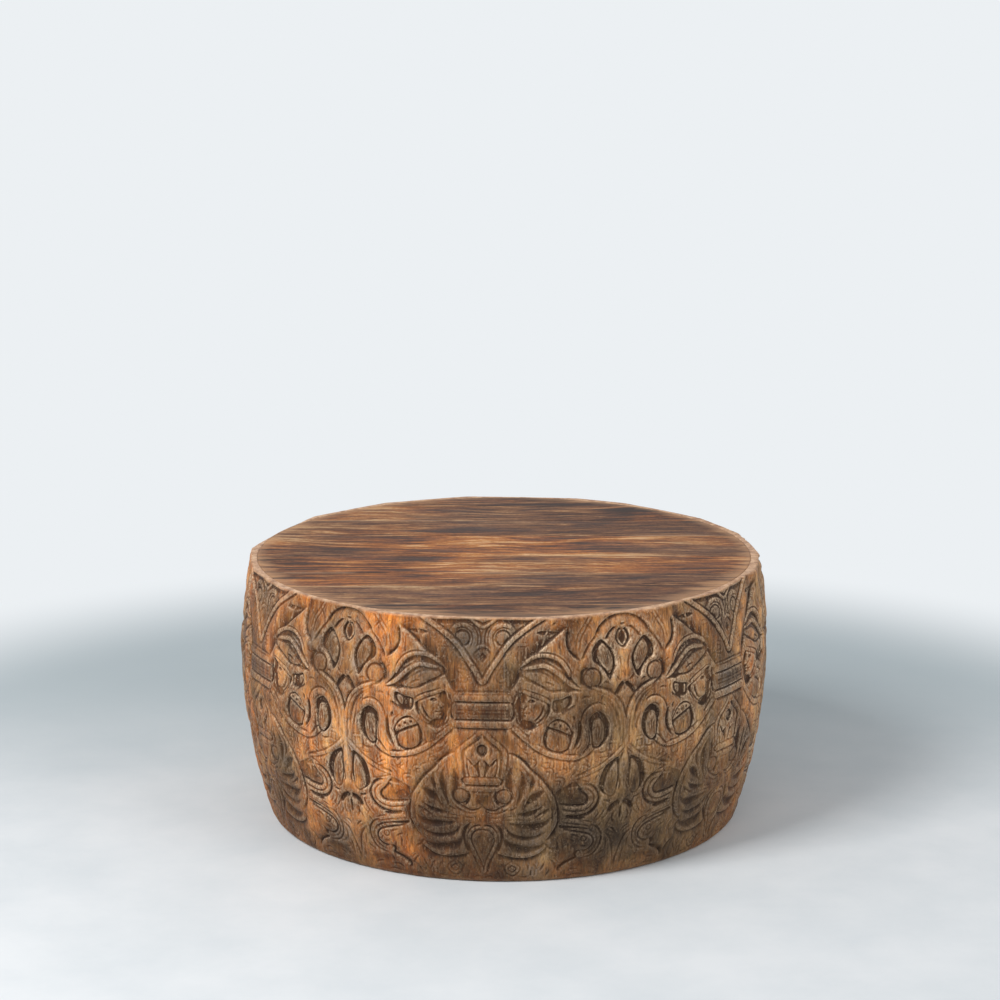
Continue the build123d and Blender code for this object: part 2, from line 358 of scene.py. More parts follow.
def carveHead():
    # a helmeted head in profile, looking at the belt. The face is a plain one on thirds:
    # brow to nose, nose to chin, and as deep as it is high.
    brow, third, front = 333, 18, 69
    nose, chin = brow - third, brow - 2 * third
    faceLine = [
        (front, brow + 3), (front + 1.5, brow - 3), (front - 2, nose + 8), (front - 7, nose + 2.5),
        (front - 5.5, nose - 0.5), (front - 0.5, nose - 1.5), (front - 1.5, nose - 4.5),
        (front - 3.5, nose - 6.5), (front - 0.5, nose - 8), (front - 2.8, nose - 10.5),
        (front + 0.5, nose - 13), (front - 2, chin + 1), (front + 1, chin - 3), (front + 9, chin - 4),
        (front + 16, chin - 8), (front + 19, chin - 13), (front + 30, chin - 6), (front + 37, chin + 6),
        (front + 38, nose + 3), (front + 34, brow - 2), (front + 14, brow + 4),
    ]
    gouge([(57, 341), (54, 330), (51, 318), (55, 306), (57, 294), (66, 283), (75, 277)], 5, 5.4, 0.1, -1)
    pocket([
        (60, 341), (56, 330), (51, 319), (56, 306), (57, 297), (63, 285), (74, 277), (90, 284), (108, 302),
        (112, 318), (106, 330), (92, 336), (76, 339),
    ], 5.6, 0, 5)
    boss(faceLine, -0.4, 1.8, 8, False)
    x, y = front + 9.5, brow - 7
    pocket([(x - 6.5, y - 0.8), (x, y + 3), (x + 7.5, y - 0.6), (x + 0.5, y - 3.6)], 5.4, 0, 3)
    boss([(x - 2.8, y - 0.4), (x + 0.4, y + 1.6), (x + 3.8, y - 0.5), (x + 0.4, y - 2.3)], -2, 0.6, 2)
    gouge([(front + 2, brow - 2.5), (front + 10, brow - 0.5), (front + 20, brow - 4)], 1.2, 2.4, 0.25)
    gouge([(front - 3, nose + 0.5), (front + 1.5, nose + 2), (front + 2.5, nose + 6)], 1.6, 4, 0.15)
    gouge([(front - 2, nose - 8), (front + 3, nose - 8.6), (front + 8.5, nose - 7)], 1.5, 4.4, 0.2)
    gouge([(front + 5, nose), (front + 10, nose - 4), (front + 11, nose - 10)], 2.2, 1.8, 0.4)
    gouge([
        (front + 7, chin - 4), (front + 18, chin - 1.5), (front + 27, nose - 8), (front + 31, brow - 10),
    ], 2.6, 4.4, 0.25)
    # strap of the helmet under the jaw
    gouge([(105, 326), (106, 312), (99, 299), (87, 289), (78, 283)], 2.6, 4, 0.1)
    gouge([(99, 323), (99, 313), (93, 303), (84, 296)], 1.1, 1.2, 0.2)
    # the helmet's crown is sunk round three swept plumes and the brim
    pocket([
        (58, 366), (62, 375), (72, 386), (90, 395), (112, 395), (130, 387), (141, 374), (150, 357),
        (163, 341), (148, 338), (134, 335), (120, 341), (100, 347), (80, 357),
    ], 4.4, 0.6, 8)
    strip([
        (62, 377), (74, 389), (92, 396.5), (113, 395.5), (129, 387), (139, 374), (144, 362),
    ], 2.3, 3.2, 4.4, 0.14)
    strip([
        (70, 377), (84, 379), (98, 381), (111, 377.5), (126, 367), (140, 354), (152, 345.5), (163, 341),
    ], 2.7, 2.6, 4.6, 0.18)
    boss([
        (67, 371), (80, 372.5), (95, 371), (108, 365), (121, 356), (133, 346), (124, 341.5), (110, 344),
        (95, 350), (80, 358), (69, 364),
    ], -0.5, 2, 8)
    boss([
        (58, 361), (70, 359.5), (86, 352), (102, 343.5), (116, 339), (130, 340.5), (141, 336), (131, 329),
        (118, 324.5), (108, 325), (96, 331), (80, 335.5), (63, 342), (58, 350),
    ], 0, 1.5, 7)
    strip([(62, 343), (76, 337.5), (91, 332.5), (104, 326), (111, 319)], 2, 2.4, 5, 0.12)
    gouge([(98, 389), (113, 388), (127, 380), (139, 366)], 4.6, 6.2, 0.4)
    gouge([(61, 369), (64, 376), (74, 383)], 4, 5.8, 0.3)
    gouge([(86, 374.5), (101, 374.5), (116, 366), (134, 350), (146, 340)], 2, 5.4, 0.25)
    gouge([(98, 357), (111, 353), (124, 345)], 2.6, 3.4, 0.35)
    gouge([(76, 367), (90, 363.5), (104, 357)], 1.1, 1.6, 0.3)
    gouge([(62, 362.5), (84, 354.5), (104, 344), (119, 340.5), (131, 343.5)], 1.8, 4.4, 0.15)
    gouge([(66, 354), (84, 346.5), (102, 337), (118, 333)], 1.2, 1, 0.3)
    gouge([(80, 391.5), (100, 392), (118, 389)], 1, 1.6, 0.3)
    # guard behind the neck
    pocket([(113, 324), (128, 328), (144, 333), (147, 322), (140, 311), (128, 304), (115, 307)], 5.4, 0, 5)
    boss([(116.5, 322), (120, 323.5), (120.5, 309), (117, 309.5)], -1.4, 0.5, 2, False)
    boss([(131, 325), (141, 328), (141, 319), (133, 312)], -3.4, 0.8, 3)
    gouge([(126, 302), (137, 309), (152, 318)], 4, 5, 0.15, -1)


def carveCollar():
    # the neck, and the beaded shoulder that spreads like a bell
    pocket([
        (97, 264), (100, 276), (107, 289), (118, 297), (133, 294), (144, 284), (149, 270), (147, 255),
        (141, 243), (128, 237), (112, 240), (100, 250),
    ], 5.4, 0, 5)
    boss([
        (72, 264), (80, 277), (95, 290), (112, 302), (127, 305), (128, 299), (116, 297), (106, 288),
        (100, 275), (96, 262), (88, 254), (80, 256),
    ], 0, 1.6, 7)
    gouge([(84, 279), (98, 290), (112, 298)], 1.8, 2, 0.3)
    strip([(101, 281), (108, 291), (119, 297.5), (132, 295), (143, 285), (148, 272)], 1.7, 1.4, 3, 0.15, 0)
    boss([
        (107, 284), (113, 291), (124, 292), (135, 287), (143, 278), (145, 268), (137, 270), (127, 275.5),
        (116, 279.5),
    ], -0.6, 0.8, 3)
    for place in ((117, 286.5), (127, 283.5), (136.5, 277.5)):
        gouge([place, (place[0] + 0.6, place[1] - 0.4)], 2.7, 4.4, 0)
    boss([
        (107, 279), (116, 276.5), (128, 271.5), (140, 265), (143, 255), (138, 244), (126, 239.5),
        (112, 243), (104, 251), (103, 265),
    ], -1.4, 2, 9)
    for low, high in (((112, 246), (114, 275)), ((122, 242), (123, 271)), ((132, 243), (132, 267))):
        gouge([low, high], 1.7, 2.4, 0.35)
    for low, high in (((106, 262), (137, 257)), ((107, 253), (136, 249))):
        gouge([low, high], 0.9, 1, 0.3)


def carveLoops():
    # two bands that swing down beside the roundel, and the leaf in the loop
    pocket([
        (178, 297), (190, 303.5), (202, 298), (209, 283), (210, 268), (204, 252), (191, 241), (180, 242),
        (178, 255), (176, 270), (174, 285),
    ], 5.2, 0, 5)
    boss([
        (182, 287), (191, 292), (198.5, 285), (201.5, 270), (199, 254), (190, 243), (181, 248), (179, 268),
    ], -0.8, 1.6, 7)
    for shift in (-5, 0, 5):
        gouge([(190 + shift, 285 - abs(shift)), (191 + shift, 270), (189 + shift * 0.6, 252)], 1.2, 3.2, 0.3)
    gouge([(156, 297), (159, 280), (157.5, 264), (151, 249), (145, 241)], 4.4, 6, 0.3)
    gouge([(147, 301), (149, 296), (149.5, 290)], 2, 3, 0.3)
    strip([
        (203, 306), (188, 311.5), (175, 306), (168, 293), (167, 275), (168, 258), (163, 244), (152, 235),
    ], 4.2, 4.5, 3.4, 0.05)
    gouge([(168, 300), (166.5, 280), (168, 262)], 1.4, 1.2, 0.3)
    strip([(148, 291), (151.5, 280), (151, 266), (147, 253), (141, 243)], 2.6, 2, 3.5, 0.15)


def carveTongue():
    # the tongue that hangs from the rim beside the flower
    gouge([(141, 442), (138, 426), (139, 410), (147, 397), (162, 386)], 6, 5.2, 0.15, 1)
    gouge([(162, 386), (169, 400), (178, 413), (188, 424), (197, 436)], 4.5, 3.6, 0.15, -1)
    strip([(184, 457), (172, 440), (161, 424), (157, 403)], 0.9, 3.2, 2.6, 0.12, -0.2)
    gouge([(150, 432), (149, 418), (153, 405)], 5, 1.2, 0.3)


def carveFlower():
    # the flower under the rim, on the other middle line
    gouge([(187, 423), (196, 437), (208, 447), (223, 453), (otherLine, 455), (255, 453)], 6, 4.8, 0.1, -1)
    gouge([(205, 416), (213, 427), (225, 436), (otherLine, 440), (254, 436)], 4.5, 4.6, 0.1, -1)
    pocket([
        (otherLine, 437), (230, 430), (225, 418), (229, 408), (otherLine, 401), (249, 408), (253, 418),
        (248, 430),
    ], 5.8, 0, 5)
    strip([
        (otherLine, 431), (233, 423), (232, 414), (otherLine, 405), (246, 414), (245, 423),
        (otherLine, 431),
    ], 0.9, 1.5, 1.5, 0, -3)
    strip([(222, 437), (231, 438), (otherLine, 434), (247, 438)], 2.4, 2, 2, 0.15, -0.4)
    pocket([
        (200, 418), (189, 411), (182, 399), (183, 385), (192, 377), (202, 368), (213, 352), (222, 366),
        (225.5, 382), (221, 397), (212, 409),
    ], 5.6, 0, 5)
    boss([
        (201, 411), (194, 403), (192.5, 391), (198, 379), (206, 369), (214, 362), (219, 371), (220.5, 384),
        (216, 397), (209, 407),
    ], -1.2, 2, 7)
    for shift in (-7, -3.5, 0, 3.5, 7):
        gouge([(203 + shift * 0.9, 404), (207 + shift, 387), (212 + shift * 0.5, 368)], 1.1, 3.8, 0.3)
    ball((182, 358), 15, 5.5, 4.6)
    gouge([(168, 345), (165, 358), (168, 369), (177, 376)], 6.5, 5.6, 0.2, 1)
    gouge([(otherLine, 347), (230, 339), (221, 326)], 5, 5, 0.12)
    strip([(otherLine, 340), (233, 333), (228, 325)], 0.8, 1.6, 1.5, 0.1, -1.5)


def carveArch():
    # the onion arch over the trunk
    gouge([(178, 347), (196, 341), (212, 333.5), (226, 321), (235, 304), (otherLine, 285)], 6, 4.4, 0.12, 1)
    strip([
        (180, 344), (197, 338), (212, 330), (224.5, 318), (232.5, 302), (236.5, 284), (238, 262),
        (otherLine, 240),
    ], 1.2, 4, 2.4, 0.05)
    gouge([(176, 340), (190, 333), (206, 322), (217, 308), (224, 291), (227, 270), (227, 250)], 3.5, 2.2, 0.3)
    for mark in (
        [(204, 251), (223, 250)], [(203, 234), (227, 231)], [(207, 250), (206, 236)],
        [(222, 248), (222, 234)],
    ):
        strip(mark, 1.15, 2, 2.8, 0.1, -0.2)


def carveStem():
    # the stem with its pair of petals
    pocket([
        (229, 222), (214, 216), (203, 206), (197, 191), (195, 175), (199, 165), (208, 158), (220, 157),
        (228, 165), (231, 182), (230, 202),
    ], 5.4, 0, 5)
    boss([
        (225, 214), (215, 206), (208.5, 192), (205, 176), (206, 162), (215, 153), (226, 158), (229, 180),
        (228, 200),
    ], -0.6, 2, 7)
    for shift in (-7, -3.5, 0, 3.5, 7):
        gouge([(217 + shift, 204 + 0.8 * shift), (216 + shift, 185), (218 + shift * 0.5, 162)], 1.1, 3.4, 0.3)
    strip([(237, 243), (226, 231.5), (212, 220), (196, 209.5), (176, 201), (150, 193.5)], 1.5, 5, 3, 0.08)
    gouge([(otherLine, 236), (232, 222), (230, 204), (231, 186), (233, 172), (227, 160)], 2.2, 3.2, 0.15)
    gouge([(otherLine, 141.5), (229, 140), (220, 133), (216, 125)], 5.5, 5.2, 0.15)
    strip([(206, 150), (214, 140), (210, 127), (200, 115)], 1.6, 3.2, 3.2, 0.2)
    strip([(196, 146), (204, 136), (200, 124), (191, 116)], 1.4, 2.6, 2.6, 0.2)
    gouge([(204, 151), (211, 147), (219, 147)], 2.2, 3.4, 0.2)
    gouge([(otherLine, 138), (otherLine, 110)], 2.6, 4, 0.2)
    gouge([(227, 130), (224, 116), (230, 104)], 2.6, 2.4, 0.25)
    gouge([(221, 99), (229, 94), (235, 86)], 1.8, 3.4, 0.3)
    strip([(213, 94), (222, 88), (231, 83)], 1.1, 2.4, 2.6, 0.15)
    gouge([(212, 90), (224, 77), (231, 58), (236, 36), (237, 18)], 3.6, 3.6, 0.2, 1)
    gouge([(222, 64), (226, 44), (226, 22)], 2.4, 1.8, 0.3)


def carveUpperScroll():
    pocket([
        (120, 172), (138, 183), (150, 188), (158, 180), (168, 168), (177, 158), (177, 150), (170, 144),
        (152, 143.5), (134, 147), (122, 152),
    ], 2.6, 0.3, 10)
    gouge([
        (151, 191), (158, 182), (167, 170), (177, 160), (178.5, 151), (171, 143.5), (154, 143), (137, 146),
        (121, 151),
    ], 7.5, 5, 0.12, -1)
    gouge([
        (163, 182), (178, 179.5), (191, 170), (197.5, 155), (193, 140), (181, 129), (165, 124.5),
        (148, 125), (134, 129),
    ], 3.6, 4.6, 0.15)
    gouge([
        (166, 175), (179, 170), (187.5, 159), (187, 147), (177, 137), (160, 133.5), (142, 137), (126, 143),
    ], 2.4, 3, 0.15)
    gouge([(150, 192), (166, 187), (182, 182), (197, 181)], 3, 3, 0.2, 1)
    gouge([(150, 195), (160, 197.5), (174, 200)], 4, 3.2, 0.2, 1)
    # the lines that lead over to the lower scroll
    pocket([(142, 130), (156, 125), (174, 122.5), (168, 118), (152, 120), (141, 124)], 5, 1, 3)
    strip([(128, 121), (148, 117.5), (170, 113), (190, 107)], 1.6, 3, 3.2, 0.15)
    pocket([(130, 112), (146, 109), (166, 105), (158, 102), (142, 103), (130, 106)], 5, 1, 3)


def carveLowerScroll():
    gouge([
        (132, 104), (152, 98), (172, 92.5), (186, 87), (192.5, 77), (189, 67), (179, 61.5), (169, 63),
    ], 4.6, 5, 0.1, 1)
    gouge([(150, 105), (172, 102), (189, 95), (199, 83), (198, 67), (187, 56), (172, 53)], 2.6, 3.2, 0.15)
    gouge([(180, 110), (196, 104), (207, 91), (209, 75), (203, 59), (191, 48.5), (170, 47)], 4, 4.4, 0.18, -1)
    gouge([(170, 63), (164, 56), (165, 48), (155, 43), (145, 38), (136, 30), (138, 24)], 6, 5.6, 0.12, -1)
    ball((174, 83), 4.6, 3, 3.2)
    gouge([(166, 76), (172, 70), (182, 70)], 2.4, 1.8, 0.3)
    gouge([(146, 80), (147, 68), (149, 58)], 1.6, 1.8, 0.3)
    gouge([(137, 76), (138, 64)], 1.6, 1.4, 0.3)
    gouge([(150, 34), (175, 38), (205, 34), (226, 22)], 8, 1.6, 0.3)


def carveMedallion():
    # the roof over the pot
    gouge([(0, 270), (13, 257), (28, 245), (31, 234), (30, 214), (29, 192)], 3.4, 3.4, 0.06)
    strip([
        (-14, 264), (0, 277), (14, 264), (30, 250), (37.5, 240), (36, 222), (34, 204), (33, 190),
    ], 2.2, 4.2, 2.8, 0.05)
    gouge([(0, 259), (12, 252), (16, 243), (12, 234)], 2, 2.4, 0.2)
    pocket([(0, 255), (8, 251), (10, 243), (6, 236), (0, 233), (-6, 236), (-10, 243), (-8, 251)], 5.4, 2, 6)
    # the tulip
    pocket([
        (2, 231), (7, 226), (13, 220), (19, 228), (26, 234), (27, 215), (23, 199), (2, 198),
    ], 4.2, 0, 5, False)
    boss([(0, 232), (6, 222), (4, 208), (2, 199), (-4, 208), (-6, 222)], -0.4, 1.2, 4)
    boss([(24, 231), (19, 222), (11, 214), (6, 204), (7, 199), (19, 199), (24, 212)], -0.4, 1.4, 5)
    gouge([(21, 224), (16, 212), (13, 201)], 2, 2.2, 0.25)
    # the pot
    strip([(-40, 192), (26, 192)], 4.4, 3, 4.2, 0, 0, 1)
    gouge([(30, 198), (34, 192), (30, 185)], 3, 4.2, 0.2)
    gouge([(-20, 184.5), (30, 184.5)], 2.6, 4.4, 0.06, -1)
    gouge([(-20, 174), (0, 173), (24, 174)], 1.6, 1.8, 0.15)
    gouge([
        (0, 150), (8, 142.5), (20, 140.5), (31, 146), (43, 153), (50, 165), (47, 178), (38, 185),
    ], 2.4, 3.6, 0.15)
    gouge([(0, 144), (10, 137.5), (24, 135.5), (38, 141), (50, 150)], 2, 2.2, 0.2)
    ball((36, 165.5), 12.5, 3.6, 4.2)
    gouge([(24, 178), (20, 166), (23, 155), (31, 147)], 4.6, 5, 0.2, 1)
    gouge([(10, 172), (7, 160), (8, 150)], 5, 1.4, 0.3)


def carveAcanthus():
    # the outline of the great leaf
    gouge([
        (38, 243), (54, 236), (68, 225), (80, 211), (95, 197), (108, 180), (119, 160), (125, 138),
        (125, 116), (116, 97), (104, 82),
    ], 5.5, 4.6, 0.1, 1)
    gouge([(104, 84), (112, 72), (122, 66)], 3, 2.6, 0.3)
    gouge([
        (48, 230), (62, 222), (74, 208), (89, 193), (101, 177), (111, 158), (116, 138), (116, 117),
        (108, 100),
    ], 1.6, 1.8, 0.2)
    gouge([(16, 64), (38, 56), (62, 52), (84, 54), (102, 64), (114, 80)], 8, 5.4, 0.2, -1)
    # hollows between its lobes, each the shape of a willow leaf
    hollows = (
        ([(50, 160), (45, 178), (43.5, 197), (48, 219)], 5.6, 5.6),
        ([(56, 146), (63, 165), (67, 187), (66, 202), (60, 217)], 4.6, 5.6),
        ([(70, 165), (80, 180), (83, 195), (78, 211)], 3.6, 4.6),
        ([(66, 140), (75, 156), (88, 166), (105, 178)], 6, 6),
        ([(54, 135), (72, 134), (87, 139), (104, 153)], 4.4, 5.6),
        ([(78, 146), (88, 150), (97, 157)], 1.6, 2),
        ([(84, 128), (98, 133), (113, 146)], 3.6, 4.4),
        ([(44, 119), (64, 113), (86, 111), (104, 117), (117, 130)], 5.4, 5.8),
        ([(35, 116), (48, 98), (68, 90), (90, 92), (108, 103)], 4, 5),
        ([(29, 102), (37, 84), (54, 72), (78, 68), (98, 74), (108, 84)], 6.4, 6),
    )
    for path, width, depth in hollows:
        gouge(path, 1.35 * width, 0.88 * depth, 0.42)
        gouge(beside(path, 2.4 + 1.9 * width), 1, 2, 0.45)
    # veins and rubbed ridges
    for path, width in (
        ([(52, 152), (55, 175), (55, 205)], 1.3), ([(70, 150), (76, 172), (75, 205)], 1.1),
        ([(72, 163), (87, 178), (99, 189)], 1.3), ([(74, 120), (88, 124), (101, 133)], 1.5),
        ([(72, 140), (88, 145), (101, 151)], 1.2), ([(36, 127), (55, 128), (72, 127)], 1.3),
        ([(44, 96), (60, 82), (80, 79), (99, 86)], 1.4),
        ([(112, 172), (119, 158), (121, 142), (118, 126)], 1),
    ):
        strip(path, width, 2, 2.4, 0.3)
    for path in (
        [(44, 222), (39, 208), (38, 196)], [(90, 203), (93, 194), (89, 186)],
        [(60, 105), (75, 103), (92, 106)], [(56, 62), (72, 61), (88, 65)],
    ):
        gouge(path, 1.8, 2.4, 0.35)


def carveDrop():
    # the upside-down drop at the foot, and the little lozenges beside it
    strip([(0, 109.5), (14, 106), (23, 94), (23, 79), (16, 62), (8, 44), (2, 24)], 1.4, 4.6, 4, 0.04)
    strip([(0, 98), (9, 94), (13, 85), (10, 72), (4, 58)], 1, 3, 1.5, 0.1)
    gouge([(20, 118), (31, 104), (33, 86), (27, 69), (19, 55)], 4.2, 4.4, 0.2)
    strip([(50, 43), (62, 33), (52, 22), (40, 32), (50, 43)], 1.1, 3, 3)
    gouge([(20, 58), (12, 42), (6, 26)], 5, 3.6, 0.25, -1)
    gouge([(108, 46), (104, 34), (98, 24)], 2.2, 2, 0.3)
    gouge([(85, 48), (92, 36), (100, 22)], 2.2, 1.6, 0.3)


def carveMarks():
    # small strap marks in the plain places between the roundel and the great leaf
    for mark in (
        [(80, 238), (88, 239), (89, 228)], [(75, 230), (84, 226), (80, 218)],
        [(100, 228), (112, 225), (112, 214)], [(103, 212), (112, 210), (112, 199)],
        [(116, 206), (117, 194)], [(128, 222), (130, 208)], [(134, 224), (142, 214), (146, 222)],
        [(118, 195), (130, 193), (129, 182)], [(166, 222), (177, 213)], [(160, 214), (178, 207)],
        [(176, 224), (175, 212)], [(142, 176), (160, 177)], [(150, 176), (151, 166)],
        [(62, 268), (70, 262)], [(58, 262), (66, 252), (74, 250)], [(88, 30), (88, 18)],
        [(120, 50), (128, 42)],
    ):
        strip(mark, 1.25, 2.1, 3.2, 0.1, -0.1)


def carveFillers():
    # smaller leaves, veins and cuts that fill the places between the large forms
    cuts = (
        # round the flower and its balls
        ([(205, 448), (212, 452), (222, 454)], 1.6, 2), ([(170, 446), (178, 440), (184, 431)], 2, 2.4),
        ([(152, 376), (160, 371), (166, 363)], 2.2, 2.6), ([(150, 368), (156, 362), (159, 353)], 1.6, 2),
        ([(187, 338), (198, 333), (207, 326)], 2, 2.2), ([(196, 347), (204, 350), (213, 346)], 2.4, 3),
        ([(228, 396), (232, 384), (234, 368)], 2, 2.4), ([(223, 360), (229, 352), (236, 350)], 2.2, 2.8),
        ([(231, 400), (226, 390), (224, 376)], 1.4, 1.8), ([(178, 426), (172, 414), (165, 404)], 1.2, 1.4),
        # under the tongue
        ([(128, 425), (126, 412), (130, 401)], 1.4, 1.6), ([(134, 431), (131, 415), (135, 399)], 1.2, 1.4),
        # beside the arch
        ([(184, 331), (196, 325), (206, 315), (214, 302)], 2.2, 2.4),
        ([(214, 296), (219, 280), (221, 262)], 2.6, 2.8), ([(183, 322), (194, 317), (201, 311)], 1.3, 1.6),
        ([(212, 316), (220, 303), (226, 288)], 1.2, 1.5), ([(231, 262), (233, 250), (234, 241)], 1.8, 2.4),
        ([(160, 327), (168, 330), (178, 329)], 2, 2.4), ([(152, 335), (155, 327), (152, 318)], 1.8, 2.2),
        # beside the roundel's foot
        ([(88, 222), (98, 218), (108, 209)], 1.6, 2), ([(122, 219), (134, 212), (142, 203)], 2, 2.2),
        ([(150, 222), (160, 226), (170, 232)], 2.2, 2.6), ([(183, 236), (196, 234), (208, 238)], 2, 2.6),
        ([(186, 228), (198, 225), (212, 228), (224, 234)], 1.6, 2.2),
        ([(140, 190), (150, 203), (163, 209)], 1.8, 2.2), ([(128, 200), (138, 206), (149, 210)], 1.4, 1.8),
        ([(60, 250), (68, 243), (76, 239)], 2, 2.2),
        # round the petals and the stem
        ([(191, 200), (188, 188), (187, 176)], 2, 2.6), ([(184, 196), (183, 186), (184, 178)], 1.4, 1.8),
        ([(196, 158), (204, 152), (212, 150)], 1.6, 2), ([(228, 151), (233, 146), (239, 145)], 2, 2.6),
        ([(233, 120), (235, 108), (236, 98)], 1.4, 2), ([(222, 120), (218, 110), (212, 102)], 1.8, 2.2),
        ([(206, 112), (200, 104), (201, 94)], 2, 2.6), ([(196, 128), (204, 120), (210, 108)], 1.4, 1.8),
        # round the scrolls
        ([(131, 160), (142, 166), (152, 168)], 2.2, 2.4), ([(140, 158), (150, 158), (160, 154)], 1.6, 2),
        ([(132, 140), (140, 137), (150, 134)], 1.6, 2.2), ([(187, 166), (189, 156), (185, 146)], 1.4, 1.8),
        ([(146, 95), (158, 91), (168, 86)], 2.4, 2.8), ([(140, 88), (150, 84), (158, 78)], 1.8, 2.2),
        ([(156, 72), (160, 62), (158, 54)], 2.2, 2.6), ([(178, 80), (184, 75), (183, 68)], 1.6, 2),
        ([(124, 88), (128, 74), (126, 60)], 2.6, 2.6), ([(131, 92), (135, 82), (134, 72)], 1.4, 1.8),
        ([(196, 50), (206, 52), (216, 60)], 2.2, 2.4), ([(202, 42), (214, 42), (223, 48)], 1.6, 2),
        ([(214, 82), (218, 70), (218, 56)], 2, 2.4),
        # along the foot
        ([(112, 52), (122, 45), (128, 34), (126, 22)], 2.6, 2.8),
        ([(118, 34), (116, 24), (110, 16)], 1.8, 2.2), ([(148, 24), (160, 28), (174, 26)], 2.2, 2.2),
        ([(150, 15), (166, 18), (182, 16)], 1.6, 1.8), ([(184, 30), (198, 28), (210, 20)], 2.4, 2.2),
        ([(196, 16), (206, 14), (216, 10)], 1.6, 1.8), ([(70, 46), (78, 38), (80, 26)], 2, 2.4),
        ([(30, 44), (38, 32), (40, 18)], 2.4, 2.6), ([(24, 30), (28, 20), (30, 12)], 1.6, 2),
        ([(94, 50), (98, 42), (96, 32)], 1.6, 2), ([(62, 18), (74, 16), (84, 20)], 1.6, 1.8),
        ([(0, 14), (10, 18), (20, 14)], 1.6, 2),
        # inside the medallion
        ([(34, 250), (40, 244), (43, 234)], 1.4, 1.8), ([(2, 168), (4, 156), (3, 147)], 1.4, 1.6),
        ([(16, 182), (14, 172), (15, 160)], 1.6, 2), ([(40, 140), (52, 144), (60, 152)], 1.8, 2.4),
        ([(8, 130), (20, 127), (33, 130)], 1.6, 2), ([(10, 120), (20, 118), (30, 122)], 1.4, 1.8),
    )
    for path, width, depth in cuts:
        gouge(path, width, 0.85 * depth, 0.35)


def carveAll():
    for step in (
        carveFunnel, carveCrest, carveRoundel, carveHead, carveCollar, carveTongue, carveFlower, carveLoops,
        carveArch, carveStem, carveUpperScroll, carveLowerScroll, carveAcanthus, carveMedallion, carveDrop,
        carveFillers, carveMarks, carveBelt,
    ):
        step()


def lookUp(field, across, up):
    # reads the drawing between its points
    x = np.clip(across / carving["step"], 0, field.shape[1] - 1.001)
    y = np.clip(up / carving["step"], 0, field.shape[0] - 1.001)
    column, row = x.astype(int), y.astype(int)
    fx, fy = x - column, y - row
    low = field[row, column] * (1 - fx) + field[row, column + 1] * fx
    high = field[row + 1, column] * (1 - fx) + field[row + 1, column + 1] * fx
    return low * (1 - fy) + high * fy


chanceReach = 700.0  # mm, higher than any place that asks for a chance value


def waver(angle, up, cellsRound, cellHeight, seed):
    # smooth chance values from -1 to 1 that close up round the drum
    values = np.random.default_rng(seed).uniform(-1, 1, (int(chanceReach / cellHeight) + 4, cellsRound))
    x = angle / 360 % 1 * cellsRound
    y = np.maximum(up / cellHeight + 1, 0)
    column, row = x.astype(int) % cellsRound, y.astype(int)
    fx, fy = x - np.floor(x), y - row
    fx, fy = fx * fx * (3 - 2 * fx), fy * fy * (3 - 2 * fy)
    right = (column + 1) % cellsRound
    low = values[row, column] * (1 - fx) + values[row, right] * fx
    high = values[row + 1, column] * (1 - fx) + values[row + 1, right] * fx
    return low * (1 - fy) + high * fy


# how use, stain, painted shade and painted highlights follow from the drawing's heights: radii and heights in
# mm
wear = {
    "smoothing": 0.6,
    "softening": 5.5,  # how far use has rounded what stands beside a cut
    "softShare": 0.95,
    "deepening": 1.2,
    "sunkField": (9, 1, 3, 0.5),  # brush radius, depth where it starts, depth from there to full, strength
    "wideHollow": (8, 3, 0.7),  # brush radius, depth at which it is full, strength
    "tightHollow": (2.0, 0.9, 0.22),
    "fineEdge": (1.8, 0.34),  # brush radius, and the height at which it is full
    "broadEdge": (5.5, 1.7),
    # broad places painted darker, partly where the stain stayed dark and partly painted shade in sunk places:
    # middle, half width and half height, and strength
    "darkStainAndShadeSpots": (
        (74, 160, 62, 66, 0.3), (60, 92, 62, 34, 0.3), (106, 352, 48, 34, 0.2), (132, 300, 30, 36, 0.24),
        (0, 428, 62, 34, 0.36), (0, 309, 56, 18, 0.4), (96, 402, 34, 40, 0.16), (216, 392, 34, 40, 0.16),
        (192, 272, 26, 40, 0.16), (148, 112, 40, 56, 0.18), (0, 66, 34, 50, 0.22), (190, 66, 40, 34, 0.14),
        (120, 24, 150, 26, 0.18),
    ),
    "spotReach": 1.25,
}


def wearRelief(drawn):
    # softens the drawing as use has, and deepens it again
    drawn = blur(drawn, wear["smoothing"])
    drawn = np.minimum(drawn, wear["softShare"] * blur(drawn, wear["softening"]))
    return wear["deepening"] * blur(drawn, wear["smoothing"])


def stainAndShadeInHollows():
    # whole sunk fields take some stain and painted shade, wide hollows more, and tight cuts a little on top
    radius, start, span, strength = wear["sunkField"]
    total = strength * np.clip(-(blur(relief, radius) + start) / span, 0, 1)
    for radius, span, strength in (wear["wideHollow"], wear["tightHollow"]):
        total += strength * np.clip((blur(relief, radius) - relief) / span, 0, 1)
    for middle, high, halfWidth, halfHeight, strength in wear["darkStainAndShadeSpots"]:
        away = ((acrossGrid - middle) / halfWidth) ** 2 + ((upGrid - high) / halfHeight) ** 2
        total += strength * np.clip(wear["spotReach"] - away, 0, 1)
    return np.clip(total, 0, 1)


def rubbedAndHighlitEdges():
    # what stands above its surroundings, near and a little wider: rubbed pale, partly real wear and partly
    # painted highlight
    edges = (wear["fineEdge"], wear["broadEdge"])
    near, wide = ((relief - blur(relief, radius)) / height for radius, height in edges)
    return np.clip(np.maximum(near, wide), 0, 1)


